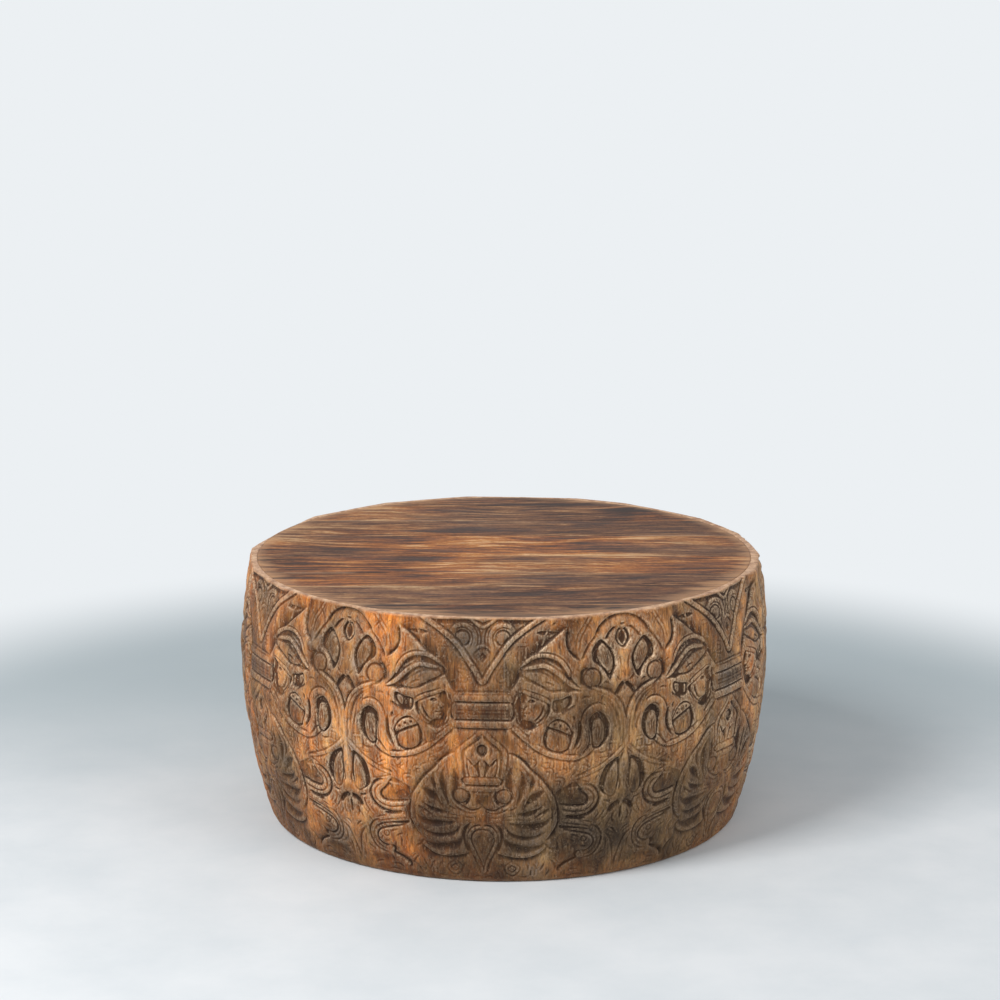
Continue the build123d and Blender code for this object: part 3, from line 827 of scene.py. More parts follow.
scratch = {
    "span": 120.0,  # degrees round the drum before the scratches repeat
    "count": 2600,
    "length": (4, 20),
    "width": (0.6, 1.5),
    "depth": (0.25, 1.3),
    "uprightShare": 0.6,  # how many follow the grain, more or less
    "grainLean": 0.3,  # radians
    "freeLean": 1.4,
    "fromEnds": 14,  # clear of the drawing's left and right ends
    "heights": (4, 450),
    "endCurve": 0.7,
    "soften": 0.6,
    "seed": 11,
}


def scratchField():
    # short cuts, dents and slips of the tool, strewn over the whole side
    chance = np.random.default_rng(scratch["seed"])
    step, clear, free = carving["step"], scratch["fromEnds"], scratch["freeLean"]
    width = math.radians(scratch["span"]) * drum["bulgeRadius"]
    columns, rows = int(width / step), relief.shape[0]
    field = np.zeros((rows, columns), np.float32)
    for _ in range(scratch["count"]):
        length, half, depth = (chance.uniform(*scratch[name]) for name in ("length", "width", "depth"))
        upright = chance.uniform() < scratch["uprightShare"]
        lean = chance.normal(0, scratch["grainLean"]) if upright else chance.uniform(-free, free)
        s0, z0 = chance.uniform(clear, width - clear), chance.uniform(*scratch["heights"])
        ahead, reach = (math.sin(lean), math.cos(lean)), length / 2 + half
        left, right, low, high = (int(v / step) for v in (s0 - reach, s0 + reach, z0 - reach, z0 + reach))
        area = slice(max(low, 0), min(high + 1, rows)), slice(max(left, 0), min(right + 1, columns))
        s, z = np.meshgrid(
            np.arange(area[1].start, area[1].stop) * step - s0,
            np.arange(area[0].start, area[0].stop) * step - z0,
        )
        along = (s * ahead[0] + z * ahead[1]) / (length / 2)
        aside = np.abs(s * ahead[1] - z * ahead[0]) / half
        cut = -depth * np.clip(1 - along**2, 0, 1) ** scratch["endCurve"] * np.clip(1 - aside**2, 0, 1)
        field[area] = np.minimum(field[area], cut)
    return blur(field, scratch["soften"])


carveAll()
relief = wearRelief(relief)
hollowStainAndShade = stainAndShadeInHollows()
edgeWearAndHighlight = rubbedAndHighlitEdges()
scratches = scratchField()
print("carving drawn:", relief.shape, "deepest", round(float(relief.min()), 1), "mm")

stave = {
    "columns": 62,  # faces across one stave
    "rows": 336,  # faces up its carved side
    "jointGap": 0.08,
    "jointEase": 0.12,  # how far the joint's edges are worn back
    "jointReach": 1.6,
    "footCut": 7.0,  # the drawing runs this far below the foot
    "crestTurn": 4.5,  # degrees from the front to the nearest crest
    "repeat": 60.0,
    "wander": 1.6,  # how far one repeat's lines stray from the next, in mm
    "carveDepth": 1.2,  # 1 is as drawn
    "depthSpread": 0.13,  # how unevenly deep the repeats were cut
    "toolMarks": 0.3,
    "markShares": (1.0, 0.7, 0.6),  # of the fine, finest and broad marks
    "markLevel": 1.6,  # keeps the marks under the full outline
    "swell": 0.6,  # the plain wood swells and dips this much between the forms
    "leastDepth": 0.02,  # no wood stands closer to the full outline than this
    # the stain: how unevenly it settled, and how clearly its cuts stand out in light and in dark wood
    "stainSpread": 0.42,
    "stainInJoint": 0.16,
    "stainReach": 1.4,
    "stainInScratch": 0.5,
    "clearStart": 0.57,
    "clearGain": 0.6,
    "clearLimits": (0.6, 1.12),
    # cells round the drum, their height in mm, and the seed of each uneven pattern
    "acrossWaver": (24, 75, 3),
    "upWaver": (26, 80, 4),
    "depthWaver": (40, 60, 5),
    "markWavers": ((300, 14, 6), (520, 26, 7), (150, 30, 8)),
    "swellWaver": (70, 34, 9),
    "stainWaver": (54, 46, 10),
    "shadeWaver": (11, 130, 12),
    "shadeSeed": 9,  # some staves took more stain than others
    "shadeShares": (0.6, 0.4),  # how much the stave and the broad places count
    # broad places of painted light and painted shade, with some uneven stain: degrees from the front, height,
    # half width, half height, strength
    "paintedLightAndShadeSpots": (
        (-3, 120, 22, 90, 0.8), (36, 105, 34, 110, 1.2), (18, 290, 10, 70, 0.8), (48, 370, 10, 60, 0.6),
        (-62, 130, 11, 90, 0.6), (-76, 290, 15, 160, 0.8), (-24, 420, 8, 34, -0.5), (-32, 250, 15, 95, -0.45),
        (38, 330, 9, 60, -0.4), (68, 350, 9, 80, -0.7), (-36, 120, 14, 66, -0.6), (0, 330, 14, 60, 0.4),
        (130, 120, 30, 80, 0.7), (-150, 90, 30, 80, 0.7), (175, 340, 14, 60, -0.4),
    ),
    "spotReach": 1.2,
    # the rim was sawn in flats between these places, in degrees from the front
    "rimCorners": (-171, -150, -128, -94, -74, -56, -29.5, -16.5, 10, 32, 53, 74, 88, 108.5, 125.5, 149, 162),
    "rimFlat": 0.8,
    "rimFlatFrom": 300.0,
    "rimFlatTo": 425.0,
    # lighter and greyer staves stand between the orange ones: 0 is orange, 1 is grey-brown. The staves right
    # of the front are mostly greyer, partly their own tone and partly painted shade
    "tones": (
        0.62, 0.45, 0.74, 0.66, 0.80, 0.70, 0.52, 0.84, 0.60, 0.34, 0.55, 0.28,
        0.45, 0.20, 0.38, 0.62, 0.30, 0.48, 0.66, 0.40, 0.22, 0.55, 0.36, 0.18,
        0.42, 0.60, 0.26, 0.35, 0.15, 0.30, 0.42, 0.18, 0.33, 0.10, 0.26, 0.16,
    ),
    # wood that is darker, from stain and from painted shade, is set this much greyer
    "shadeTone": 0.4,  # dark wood is this much greyer
    # the rows of faces round a stave's foot, its rim and down its inner face
    "footRows": 6,
    "footCarve": 0.2,  # how much of the carving is left on the foot's edge
    "footGrain": 0.6,
    "rimRows": 5,
    "rimCarveLost": 0.16,  # for each row of the rim's round
    "rimTopRows": (0.3, 0.6, 0.85),
    "rebateEase": 0.7,
    "innerRows": 13,
    "footSeat": 4.0,
}


def sideRadius(z):
    return drum["bulgeRadius"] - drum["sideCurve"] + np.sqrt(
        drum["sideCurve"] ** 2 - (z - drum["bulgeHeight"]) ** 2,
    )


def roundCentre(radius, z):
    # where a round of this radius sits inside the side's arc, and where it meets the arc
    reach = drum["sideCurve"] - radius
    lift = z - drum["bulgeHeight"]
    return drum["bulgeRadius"] - drum["sideCurve"] + math.sqrt(reach**2 - lift**2), math.asin(lift / reach)


def fromFront(angle):
    # degrees from the front, to the right
    return angle - drum["firstJoint"]


def flatInset(angle):
    # how far the sawn flats of the rim lie inside the full circle
    corners = np.array(stave["rimCorners"], float)
    around = (fromFront(angle) - corners[0]) % 360 + corners[0]
    limits = np.append(corners, corners[0] + 360)
    which = np.clip(np.searchsorted(limits, around, side="right") - 1, 0, len(corners) - 1)
    middle = (limits[which] + limits[which + 1]) / 2
    half = (limits[which + 1] - limits[which]) / 2
    rim = sideRadius(drum["height"])
    return stave["rimFlat"] * rim * (1 - np.cos(np.radians(half)) / np.cos(np.radians(around - middle)))


def staveProfile():
    # the outline of a stave from the side, once round: place out, place up, how much of the
    # carving and of the sawn flat each row takes, and whether it is end grain or the inside
    top, foot, rim = drum["height"], drum["footRound"], drum["rimRound"]
    rebate = float(sideRadius(top)) - drum["rimWidth"]
    footR, footA = roundCentre(foot, foot)
    rimR, rimA = roundCentre(rim, top - rim)
    rows = []
    for i in range(stave["footRows"]):
        a = -math.pi / 2 + (footA + math.pi / 2) * i / stave["footRows"]
        fade = stave["footCarve"] + (1 - stave["footCarve"]) * i / stave["footRows"]
        endGrain = stave["footGrain"] * (1 - fade)
        rows.append((footR + foot * math.cos(a), foot * (1 + math.sin(a)), fade, 0, endGrain, 0))
    for z in np.linspace(foot * (1 + math.sin(footA)), top - rim * (1 - math.sin(rimA)), stave["rows"] + 1):
        flat = np.clip((z - stave["rimFlatFrom"]) / (stave["rimFlatTo"] - stave["rimFlatFrom"]), 0, 1)
        rows.append((float(sideRadius(z)), z, 1, flat, 0, 0))
    for i in range(1, stave["rimRows"] + 1):
        a = rimA + (math.pi / 2 - rimA) * i / stave["rimRows"]
        carve = 1 - stave["rimCarveLost"] * i
        rows.append(
            (rimR + rim * math.cos(a), top - rim * (1 - math.sin(a)), carve, 1, i / stave["rimRows"], 0),
        )
    eased, boardBottom = rebate + stave["rebateEase"], top - drum["boardThickness"]
    for share in stave["rimTopRows"]:
        rows.append((rimR + (eased - rimR) * share, top, 0, 1 - share, 1, 0))
    rows.append((eased, top, 0, 0, 1, 0))
    rows.append((rebate, top - stave["rebateEase"], 0, 0, 1, 0))
    rows.append((rebate, boardBottom, 0, 0, 0, 1))
    for z in np.linspace(boardBottom, 0, stave["innerRows"]):
        rows.append((float(sideRadius(z)) - drum["wall"], z, 0, 0, 0, 1))
    rows.append((footR - stave["footSeat"], 0, 0, 0, 1, 0))
    return np.array(rows)


profile = staveProfile()
shades = np.random.default_rng(stave["shadeSeed"]).uniform(0, 1, drum["staveCount"])


def staveFaces(rowCount, columnCount):
    # quads round the stave, and a face at each joint
    quads = []
    for row in range(rowCount):
        a, b = row * columnCount, (row + 1) % rowCount * columnCount
        quads += [(a + c, a + c + 1, b + c + 1, b + c) for c in range(columnCount - 1)]
    start = [row * columnCount for row in range(rowCount)]
    end = [row * columnCount + columnCount - 1 for row in reversed(range(rowCount))]
    return quads + [start, end]


def shadeAt(index, angle, up):
    # how light the wood is: each stave has its own shade, broad places differ as well, and spots of painted
    # light and painted shade lie over them
    own, broad = stave["shadeShares"]
    light = 0.5 + own * (shades[index] - 0.5) + broad * waver(angle, up, *stave["shadeWaver"])
    for degrees, high, halfWidth, halfHeight, strength in stave["paintedLightAndShadeSpots"]:
        across = ((fromFront(angle) - degrees + 180) % 360 - 180) / halfWidth
        light = light - strength * np.clip(
            stave["spotReach"] - across**2 - ((up - high) / halfHeight) ** 2, 0, 1,
        )
    return light


def giveFields(mesh, fields):
    # one number for each point, which the materials and the bending read
    for name, values in fields.items():
        mesh.attributes.new(name, "FLOAT", "POINT").data.foreach_set(
            "value", values.astype(np.float32).ravel(),
        )


def flatStave(index, faces):
    # a stave as a flat plank: X runs across it, Y out of it and Z up, in metres
    columns = stave["columns"] + 1
    share = 360 / drum["staveCount"]
    width = math.radians(share) * drum["bulgeRadius"]
    across = np.linspace(stave["jointGap"], width - stave["jointGap"], columns)[None, :]
    out, up, carve, flat, endGrain, behind = (profile[:, i, None] for i in range(6))
    angle = drum["firstJoint"] + share * (index + across / width) + 0 * up
    upAll = up + 0 * across

    def patchy(name):
        return waver(angle, upAll, *stave[name])

    # the drawing, folded six times round the drum, with a little wander so that no two repeats match
    degree = math.radians(1) * drum["bulgeRadius"]
    turned = fromFront(angle) + stave["crestTurn"] + stave["wander"] / degree * patchy("acrossWaver")
    folded = turned % stave["repeat"]
    drawnAcross = np.minimum(folded, stave["repeat"] - folded) * degree
    drawnUp = upAll + stave["footCut"] + stave["wander"] * patchy("upWaver")
    height = lookUp(relief, drawnAcross, drawnUp) * stave["carveDepth"]
    height = height * (1 + stave["depthSpread"] * patchy("depthWaver"))
    marks = sum(s * waver(angle, upAll, *w) for s, w in zip(stave["markShares"], stave["markWavers"]))
    height = height + stave["toolMarks"] * (marks - stave["markLevel"])
    height = height + stave["swell"] * (patchy("swellWaver") - 1)
    slips = lookUp(scratches, angle % scratch["span"] * degree, upAll)
    fromJoint = np.minimum(across, width - across)
    height = height + slips - stave["jointEase"] * np.clip(1 - fromJoint / stave["jointReach"], 0, 1)
    height = np.minimum(height, -stave["leastDepth"]) * carve

    # where the wood is darker, from more stain and from painted shade, its cuts and rubbed edges stand out
    # less
    light = shadeAt(index, angle, upAll)
    clear = np.clip(stave["clearStart"] + stave["clearGain"] * light, *stave["clearLimits"])
    stainedAndShaded = lookUp(hollowStainAndShade, drawnAcross, drawnUp) * clear
    stainedAndShaded = stainedAndShaded * (1 + stave["stainSpread"] * patchy("stainWaver"))
    stainedAndShaded = stainedAndShaded + stave["stainInJoint"] * np.clip(1 - fromJoint / stave["stainReach"], 0, 1)

    outward = out - sideRadius(up) - flatInset(angle) * flat
    place = np.stack([across + 0 * up, outward, upAll], -1).reshape(-1, 3) / 1000
    mesh = bpy.data.meshes.new(f"flatStave{index + 1}")
    mesh.from_pydata(place.tolist(), [], faces)
    giveFields(mesh, {
        "relief": height / 1000,
        "hollow": np.clip(stainedAndShaded - stave["stainInScratch"] * slips, 0, 1) * carve,
        "edge": lookUp(edgeWearAndHighlight, drawnAcross, drawnUp) * clear * carve,
        "tone": stave["tones"][index] + stave["shadeTone"] * np.clip(0.5 - light, -0.2, 1),
        "shade": light,
        "endGrain": endGrain + 0 * angle,
        "inside": behind + 0 * angle,
    })
    markSharp(mesh, columns)
    return mesh


def markSharp(mesh, columns):
    # crisp joints, and a crisp step under the boards; everything carved stays smooth
    pairs = np.zeros(len(mesh.edges) * 2, np.int32)
    mesh.edges.foreach_get("vertices", pairs)
    pairs = pairs.reshape(-1, 2)
    row, column = pairs // columns, pairs % columns
    alongJoint = (column[:, 0] == column[:, 1]) & np.isin(column[:, 0], (0, columns - 1))
    last = len(profile) - 1
    ledge = last - stave["innerRows"] - 1
    alongStep = (row[:, 0] == row[:, 1]) & np.isin(row[:, 0], (0, ledge, ledge + 1, last - 1, last))
    mesh.attributes.new("sharp_edge", "BOOLEAN", "EDGE").data.foreach_set("value", alongJoint | alongStep)
    mesh.polygons.foreach_set("use_smooth", np.ones(len(mesh.polygons), bool))


def bendTree(material):
    # bends a flat stave round the drum's axis, onto the arc of the side, and sinks its carving
    tree = bpy.data.node_groups.new("bendStave", "GeometryNodeTree")
    add = partial(addNode, tree)
    names = (
        "Start Angle", "Stave Angle", "Stave Width", "Bulge Radius", "Bulge Height", "Side Curve",
        "Carve Depth",
    )
    tree.interface.new_socket("Geometry", in_out="INPUT", socket_type="NodeSocketGeometry")
    for name in names:
        tree.interface.new_socket(name, in_out="INPUT", socket_type="NodeSocketFloat")
    tree.interface.new_socket("Geometry", in_out="OUTPUT", socket_type="NodeSocketGeometry")
    given = add("NodeGroupInput")
    start, angle, width, belly, bellyHeight, curve, depth = (given[name] for name in names)
    spot = add("ShaderNodeSeparateXYZ", {}, {0: add("GeometryNodeInputPosition")[0]})
    share = add(calc, {"operation": "DIVIDE"}, {0: spot[0], 1: width})[0]
    turn = add(calc, {"operation": "MULTIPLY_ADD"}, {0: share, 1: angle, 2: start})[0]
    lift = add(calc, {"operation": "SUBTRACT"}, {0: spot[2], 1: bellyHeight})[0]
    liftSquared = add(calc, {"operation": "MULTIPLY"}, {0: lift, 1: lift})[0]
    curveSquared = add(calc, {"operation": "MULTIPLY"}, {0: curve, 1: curve})[0]
    rest = add(calc, {"operation": "SUBTRACT"}, {0: curveSquared, 1: liftSquared})[0]
    arc = add(calc, {"operation": "SQRT"}, {0: rest})[0]
    centre = add(calc, {"operation": "SUBTRACT"}, {0: belly, 1: curve})[0]
    side = add(calc, {"operation": "ADD"}, {0: arc, 1: centre})[0]
    outward = add(calc, {"operation": "ADD"}, {0: side, 1: spot[1]})[0]
    carved = add("GeometryNodeInputNamedAttribute", {"data_type": "FLOAT", "Name": "relief"})[0]
    radius = add(calc, {"operation": "MULTIPLY_ADD"}, {0: carved, 1: depth, 2: outward})[0]
    x, y = (
        add(calc, {"operation": "MULTIPLY"}, {0: radius, 1: add(calc, {"operation": name}, {0: turn})[0]})[0]
        for name in ("COSINE", "SINE")
    )
    bent = add("ShaderNodeCombineXYZ", {}, {0: x, 1: y, 2: spot[2]})[0]
    moved = add("GeometryNodeSetPosition", {}, {"Geometry": given["Geometry"], "Position": bent})[0]
    real = add("GeometryNodeRealizeInstances", {}, {0: moved})[0]
    dressed = add("GeometryNodeSetMaterial", {"Material": material}, {"Geometry": real})[0]
    add("NodeGroupOutput", {}, {0: dressed})
    return tree


def bakeModifier(piece, tree, inputs):
    # gives the piece the tree, sets its inputs by their identifiers, and keeps the plain result
    modifier = piece.modifiers.new("shape", "NODES")
    modifier.node_group = tree
    for socket in tree.interface.items_tree:
        if socket.name in inputs:
            modifier[socket.identifier] = inputs[socket.name]
    graph = bpy.context.evaluated_depsgraph_get()
    bent = piece.evaluated_get(graph)
    made = bpy.data.meshes.new_from_object(bent, preserve_all_data_layers=True, depsgraph=graph)
    piece.modifiers.remove(modifier)
    flat = piece.data
    piece.data = made
    bpy.data.meshes.remove(flat)


def addObject(name, data):
    piece = bpy.data.objects.new(name, data)
    bpy.context.scene.collection.objects.link(piece)
    return piece


def makeStaves(material):
    # each carved stave stands for the CAD's plain one
    tree = bendTree(material)
    faces = staveFaces(len(profile), stave["columns"] + 1)
    share = 360 / drum["staveCount"]
    for index in range(drum["staveCount"]):
        piece = addObject(f"carvedStave{index + 1:02}", flatStave(index, faces))
        bakeModifier(piece, tree, {
            "Start Angle": math.radians(drum["firstJoint"] + index * share),
            "Stave Angle": math.radians(share),
            "Stave Width": math.radians(share) * drum["bulgeRadius"] / 1000,
            "Bulge Radius": drum["bulgeRadius"] / 1000,
            "Bulge Height": drum["bulgeHeight"] / 1000,
            "Side Curve": drum["sideCurve"] / 1000,
            "Carve Depth": 1.0,
        })
        piece.data.name = piece.name
        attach(piece, "root")
        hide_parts(f"stave_{index + 1:02}")


boardTop = {
    "shares": (80, 113, 87, 120, 145, 115, 115, 75),  # how the boards share the width, front to back
    "gap": 0.3,  # between the boards and the rim
    "jointGap": 0.05,
    "jointEase": 0.25,
    "easeReach": 1.2,
    "easeRows": (0.4, 1.2),  # mm from a board's edge
    "hollowing": 0.3,  # how far a hand plane left the boards from flat
    "planeStart": 500,  # keeps the plane's pattern clear of its first row
    "planeScale": (0.3, 0.6),
    "planeCells": (40, 25),
    "planeSeed": 20,
    "sunk": 0.03,  # below the rim
    "glueReach": 2.2,
    "rubReach": (28, 34),  # mm from the rim at the back, and how much more at the front
    "across": 4.5,  # size of a face
    "along": 5.0,
    "crowding": 1.15,  # more faces towards the ends of a board
    "outermost": 0.99965,  # the outer boards stop at this share of the radius
}


def boardRows(front, back, radius):
    # rows across a board, closer together at its eased edges
    most = boardTop["outermost"]
    low, high = math.asin(max(front / radius, -most)), math.asin(min(back / radius, most))
    count = max(6, int((high - low) * radius / boardTop["across"]))
    rows = list(radius * np.sin(np.linspace(low, high, count + 1)))
    near, far = boardTop["easeRows"]
    first, last = rows[0], rows[-1]
    return np.array([first, first + near, first + far] + rows[1:-1] + [last - far, last - near, last])


def boardMesh(index, front, back, radius):
    # the upper face as a grid, its rim carried straight down, and one face below
    rows = boardRows(front, back, radius)
    columns = int(2 * radius / boardTop["along"]) + 1
    share = np.linspace(-1, 1, columns)
    share = np.sign(share) * (1 - (1 - np.abs(share)) ** boardTop["crowding"])
    half = np.sqrt(radius**2 - rows**2)
    x = half[:, None] * share[None, :]
    y = rows[:, None] + 0 * x
    fromEdge = np.minimum(y - rows[0], rows[-1] - y)
    fromEnd = half[:, None] - np.abs(x)
    worn = sum(np.clip(1 - away / boardTop["easeReach"], 0, 1) ** 2 for away in (fromEdge, fromEnd))
    (alongScale, acrossScale), start = boardTop["planeScale"], boardTop["planeStart"]
    chance = waver(
        (x + start) * alongScale, (y + start) * acrossScale, *boardTop["planeCells"],
        boardTop["planeSeed"] + index,
    )
    plane = 0.5 + 0.5 * chance
    top = drum["height"] - boardTop["sunk"] - boardTop["jointEase"] * worn - boardTop["hollowing"] * plane
    upper = np.stack([x, y, top], -1).reshape(-1, 3)
    r, c = len(rows), columns
    grid = np.arange(r * c).reshape(r, c)
    rim = list(grid[0, :]) + list(grid[1:, -1]) + list(grid[-1, -2::-1]) + list(grid[-2:0:-1, 0])
    under = upper[rim].copy()
    under[:, 2] = drum["height"] - drum["boardThickness"]
    place = np.vstack([upper, under]) / 1000
    faces = [
        (grid[i, j], grid[i, j + 1], grid[i + 1, j + 1], grid[i + 1, j])
        for i in range(r - 1) for j in range(c - 1)
    ]
    n, base = len(rim), r * c
    faces += [(rim[(i + 1) % n], rim[i], base + i, base + (i + 1) % n) for i in range(n)]
    faces.append([base + i for i in reversed(range(n))])
    mesh = bpy.data.meshes.new(f"topBoard{index + 1}")
    mesh.from_pydata(place.tolist(), [], [tuple(int(v) for v in face) for face in faces])
    atBack, atFront = boardTop["rubReach"]
    rubReach = atBack - atFront * np.minimum(y, 0) / radius
    fields = {
        "joint": np.clip(1 - fromEdge / boardTop["glueReach"], 0, 1),
        "board": index + 0 * x,
        "rimEnd": np.clip(1 - (radius - np.hypot(x, y)) / rubReach, 0, 1),
    }
    giveFields(mesh, {name: np.concatenate([v.ravel(), v.ravel()[rim]]) for name, v in fields.items()})
    smooth = np.zeros(len(mesh.polygons), bool)
    smooth[:(r - 1) * (c - 1)] = True
    mesh.polygons.foreach_set("use_smooth", smooth)
    return mesh


def makeBoards(material):
    radius = float(sideRadius(drum["height"])) - drum["rimWidth"] - boardTop["gap"]
    unit = 2 * radius / sum(boardTop["shares"])
    edges = [unit * sum(boardTop["shares"][:i]) - radius for i in range(len(boardTop["shares"]) + 1)]
    for index, (front, back) in enumerate(zip(edges[:-1], edges[1:])):
        mesh = boardMesh(index, front + boardTop["jointGap"], back - boardTop["jointGap"], radius)
        mesh.materials.append(material)
        piece = addObject(f"planedBoard{index + 1}", mesh)
        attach(piece, "root")
        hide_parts(f"top_board_{index + 1}")


carvedFinish = {
    "fibre": 1.8,  # mm between the fibres that show
    "streak": 15.0,
    "rim": 15.0,
    "patch": 110.0,
    "blotch": 55.0,
    "speck": 3.0,
    "crack": 12.0,  # mm between the fine checks and knife lines
    "ripple": 0.001,
    "orange": ((0.26, "#5A2E16"), (0.40, "#8C4B1C"), (0.52, "#B56727"), (0.64, "#D08740"), (0.80, "#E4AE6C")),
    "grey": ((0.26, "#46321F"), (0.40, "#705031"), (0.52, "#967045"), (0.64, "#B28C5C"), (0.80, "#CAA87A")),
    "stainAndShade": "#2E1E14",
    # the pale of rubbed edges, partly painted highlight, and next the colour of a cool painted sheen
    "worn": "#EFCDA8",
    "paintedSheen": "#DACABD",
    "dust": "#CDAE8C",
    # the dark of the foot: partly dirt, partly painted shade
    "foot": "#33261E",
    "end": ((0.28, "#7A5C46"), (0.42, "#AA8064"), (0.54, "#CFA683"), (0.70, "#E6C5A4")),
    "sawn": "#A98A66",
}


def carvedHardwood():
    # carved, stained and waxed: dark stain lies in the cuts with painted shade, their edges are rubbed pale
    # with painted highlights and in places a cool painted sheen, and the wax gives a soft, uneven sheen over
    # upright grain
    material, add = newMaterial("carvedHardwood")
    look = carvedFinish
    spot = add("ShaderNodeTexCoord")["Object"]
    hollow, edge, tone, shade, endGrain, behind = (
        add("ShaderNodeAttribute", {"attribute_name": name})["Fac"]
        for name in ("hollow", "edge", "tone", "shade", "endGrain", "inside")
    )
    patterns = []
    for name, stretch, detail, coarse, bent in (  # the stretch is along the grain
        ("fibre", 0.05, 4, 0.66, 0), ("streak", 0.13, 7, 0.66, 0.6), ("patch", 1, 5, 0.6, 0),
        ("speck", 0.45, 3, 0.65, 0), ("crack", 0.45, 3, 0.55, 1.6), ("blotch", 0.45, 5, 0.6, 0.5),
        ("rim", 1, 8, 0.7, 0),
    ):
        upright = add("ShaderNodeMapping", {"Scale": (1, 1, stretch)}, {"Vector": spot})[0]
        settings = {"Scale": perMetre(look[name]), "Detail": detail, "Roughness": coarse, "Distortion": bent}
        patterns.append(add(noise, settings, {"Vector": upright})["Fac"])
    fibre, streak, patch, speck, crack, blotch, rim = patterns

    # the wood: from orange to grey-brown, stave by stave and patch by patch
    orange = add(ramp, {"stops": look["orange"]}, {"Fac": streak})["Color"]
    grey = add(ramp, {"stops": look["grey"]}, {"Fac": streak})["Color"]
    patchShift = add(calc, {"operation": "MULTIPLY_ADD", 1: 2.2, 2: -1.1}, {0: patch})[0]
    toned = add(calc, {"operation": "ADD", "use_clamp": True}, {0: tone, 1: patchShift})[0]
    wood = add(mix, {"data_type": "RGBA"}, {0: toned, 6: orange, 7: grey})[2]
    fibreShade = add(ramp, {"stops": ((0.33, 0.3), (0.47, 0.84), (0.6, 1.0))}, {"Fac": fibre})["Color"]
    wood = add(mix, {"data_type": "RGBA", "blend_type": "MULTIPLY", 0: 0.88}, {6: wood, 7: fibreShade})[2]
    # the stain is uneven over a hand's breadth, and from one stave to the next; the shade attribute also
    # brings painted light and painted shade
    blotch = add(
        mapRange, {"From Min": 0.36, "From Max": 0.64, "To Min": 0.46, "To Max": 1.66}, {"Value": blotch},
    )[0]
    strength = add(
        mapRange, {"From Min": -0.9, "From Max": 1.3, "To Min": 0.2, "To Max": 1.56}, {"Value": shade},
    )[0]
    strength = add(calc, {"operation": "MULTIPLY"}, {0: strength, 1: blotch})[0]
    wood = add("ShaderNodeVectorMath", {"operation": "SCALE"}, {0: wood, "Scale": strength})[0]
    dusty = add(ramp, {"stops": ((0.62, 0.0), (0.72, 0.34))}, {"Fac": patch})["Color"]
    wood = add(mix, {"data_type": "RGBA", 7: toLinear(look["dust"])}, {0: dusty, 6: wood})[2]

    # fine dark checks and knife lines, where the noise passes through its middle
    line = add(calc, {"operation": "SUBTRACT", 1: 0.5}, {0: crack})[0]
    line = add(calc, {"operation": "ABSOLUTE"}, {0: line})[0]
    line = add(
        mapRange, {"From Min": 0.003, "From Max": 0.016, "To Min": 0.8, "To Max": 0.0}, {"Value": line},
    )[0]
    broken = add(mapRange, {"From Min": 0.42, "From Max": 0.56}, {"Value": speck})[0]
    line = add(calc, {"operation": "MULTIPLY"}, {0: line, 1: broken})[0]

    # stain and painted shade in the hollows, thinner where the patches are light
    stainNoise = add(calc, {"operation": "MULTIPLY_ADD", 1: 1.5, 2: 0.2}, {0: speck})[0]
    stainAndShade = add(calc, {"operation": "MULTIPLY", "use_clamp": True}, {0: hollow, 1: stainNoise})[0]
    stainAndShade = add(ramp, {"stops": ((0.07, 0.0), (0.34, 0.46), (0.8, 0.93))}, {"Fac": stainAndShade})["Color"]
    stainAndShade = add(calc, {"operation": "MAXIMUM"}, {0: stainAndShade, 1: line})[0]
    wood = add(mix, {"data_type": "RGBA", 7: toLinear(look["stainAndShade"])}, {0: stainAndShade, 6: wood})[2]

    # rubbed edges: pale wood, partly real wear and partly painted highlight, and in places a cool painted
    # sheen instead
    paintedSheenPatches = add(ramp, {"stops": ((0.57, 0.0), (0.69, 0.8))}, {"Fac": patch})["Color"]
    pale = add(mix, {"data_type": "RGBA", 6: toLinear(look["worn"]), 7: toLinear(look["paintedSheen"])}, {0: paintedSheenPatches})[2]
    # the painted highlights dim where the wood is darker, from stain and from painted shade
    dim = add(calc, {"operation": "MULTIPLY_ADD", 1: 0.55, 2: 0.45, "use_clamp": True}, {0: strength})[0]
    pale = add("ShaderNodeVectorMath", {"operation": "SCALE"}, {0: pale, "Scale": dim})[0]
    rubAndHighlight = add(
        mapRange, {"From Min": 0.4, "From Max": 0.58, "To Min": 0.1, "To Max": 1.0}, {"Value": speck},
    )[0]
    rubAndHighlight = add(calc, {"operation": "MULTIPLY", "use_clamp": True}, {0: rubAndHighlight, 1: edge})[0]
    hair = add(calc, {"operation": "SUBTRACT", 1: 0.56}, {0: crack})[0]
    hair = add(calc, {"operation": "ABSOLUTE"}, {0: hair})[0]
    hair = add(
        mapRange, {"From Min": 0.002, "From Max": 0.012, "To Min": 0.55, "To Max": 0.0}, {"Value": hair},
    )[0]
    hair = add(calc, {"operation": "MULTIPLY"}, {0: hair, 1: broken})[0]
    rubAndHighlight = add(calc, {"operation": "MAXIMUM"}, {0: rubAndHighlight, 1: hair})[0]
    wood = add(mix, {"data_type": "RGBA"}, {0: rubAndHighlight, 6: wood, 7: pale})[2]

    # the foot is darker than the rest: partly dirt, partly painted shade near the floor
    height = add("ShaderNodeSeparateXYZ", {}, {0: spot})[2]
    low = add(
        mapRange, {"From Min": 0.13, "From Max": 0.0, "To Min": 0.0, "To Max": 1.0}, {"Value": height},
    )[0]
    low = add(calc, {"operation": "MULTIPLY"}, {0: low, 1: streak})[0]
    wood = add(mix, {"data_type": "RGBA", 7: toLinear(look["foot"])}, {0: low, 6: wood})[2]

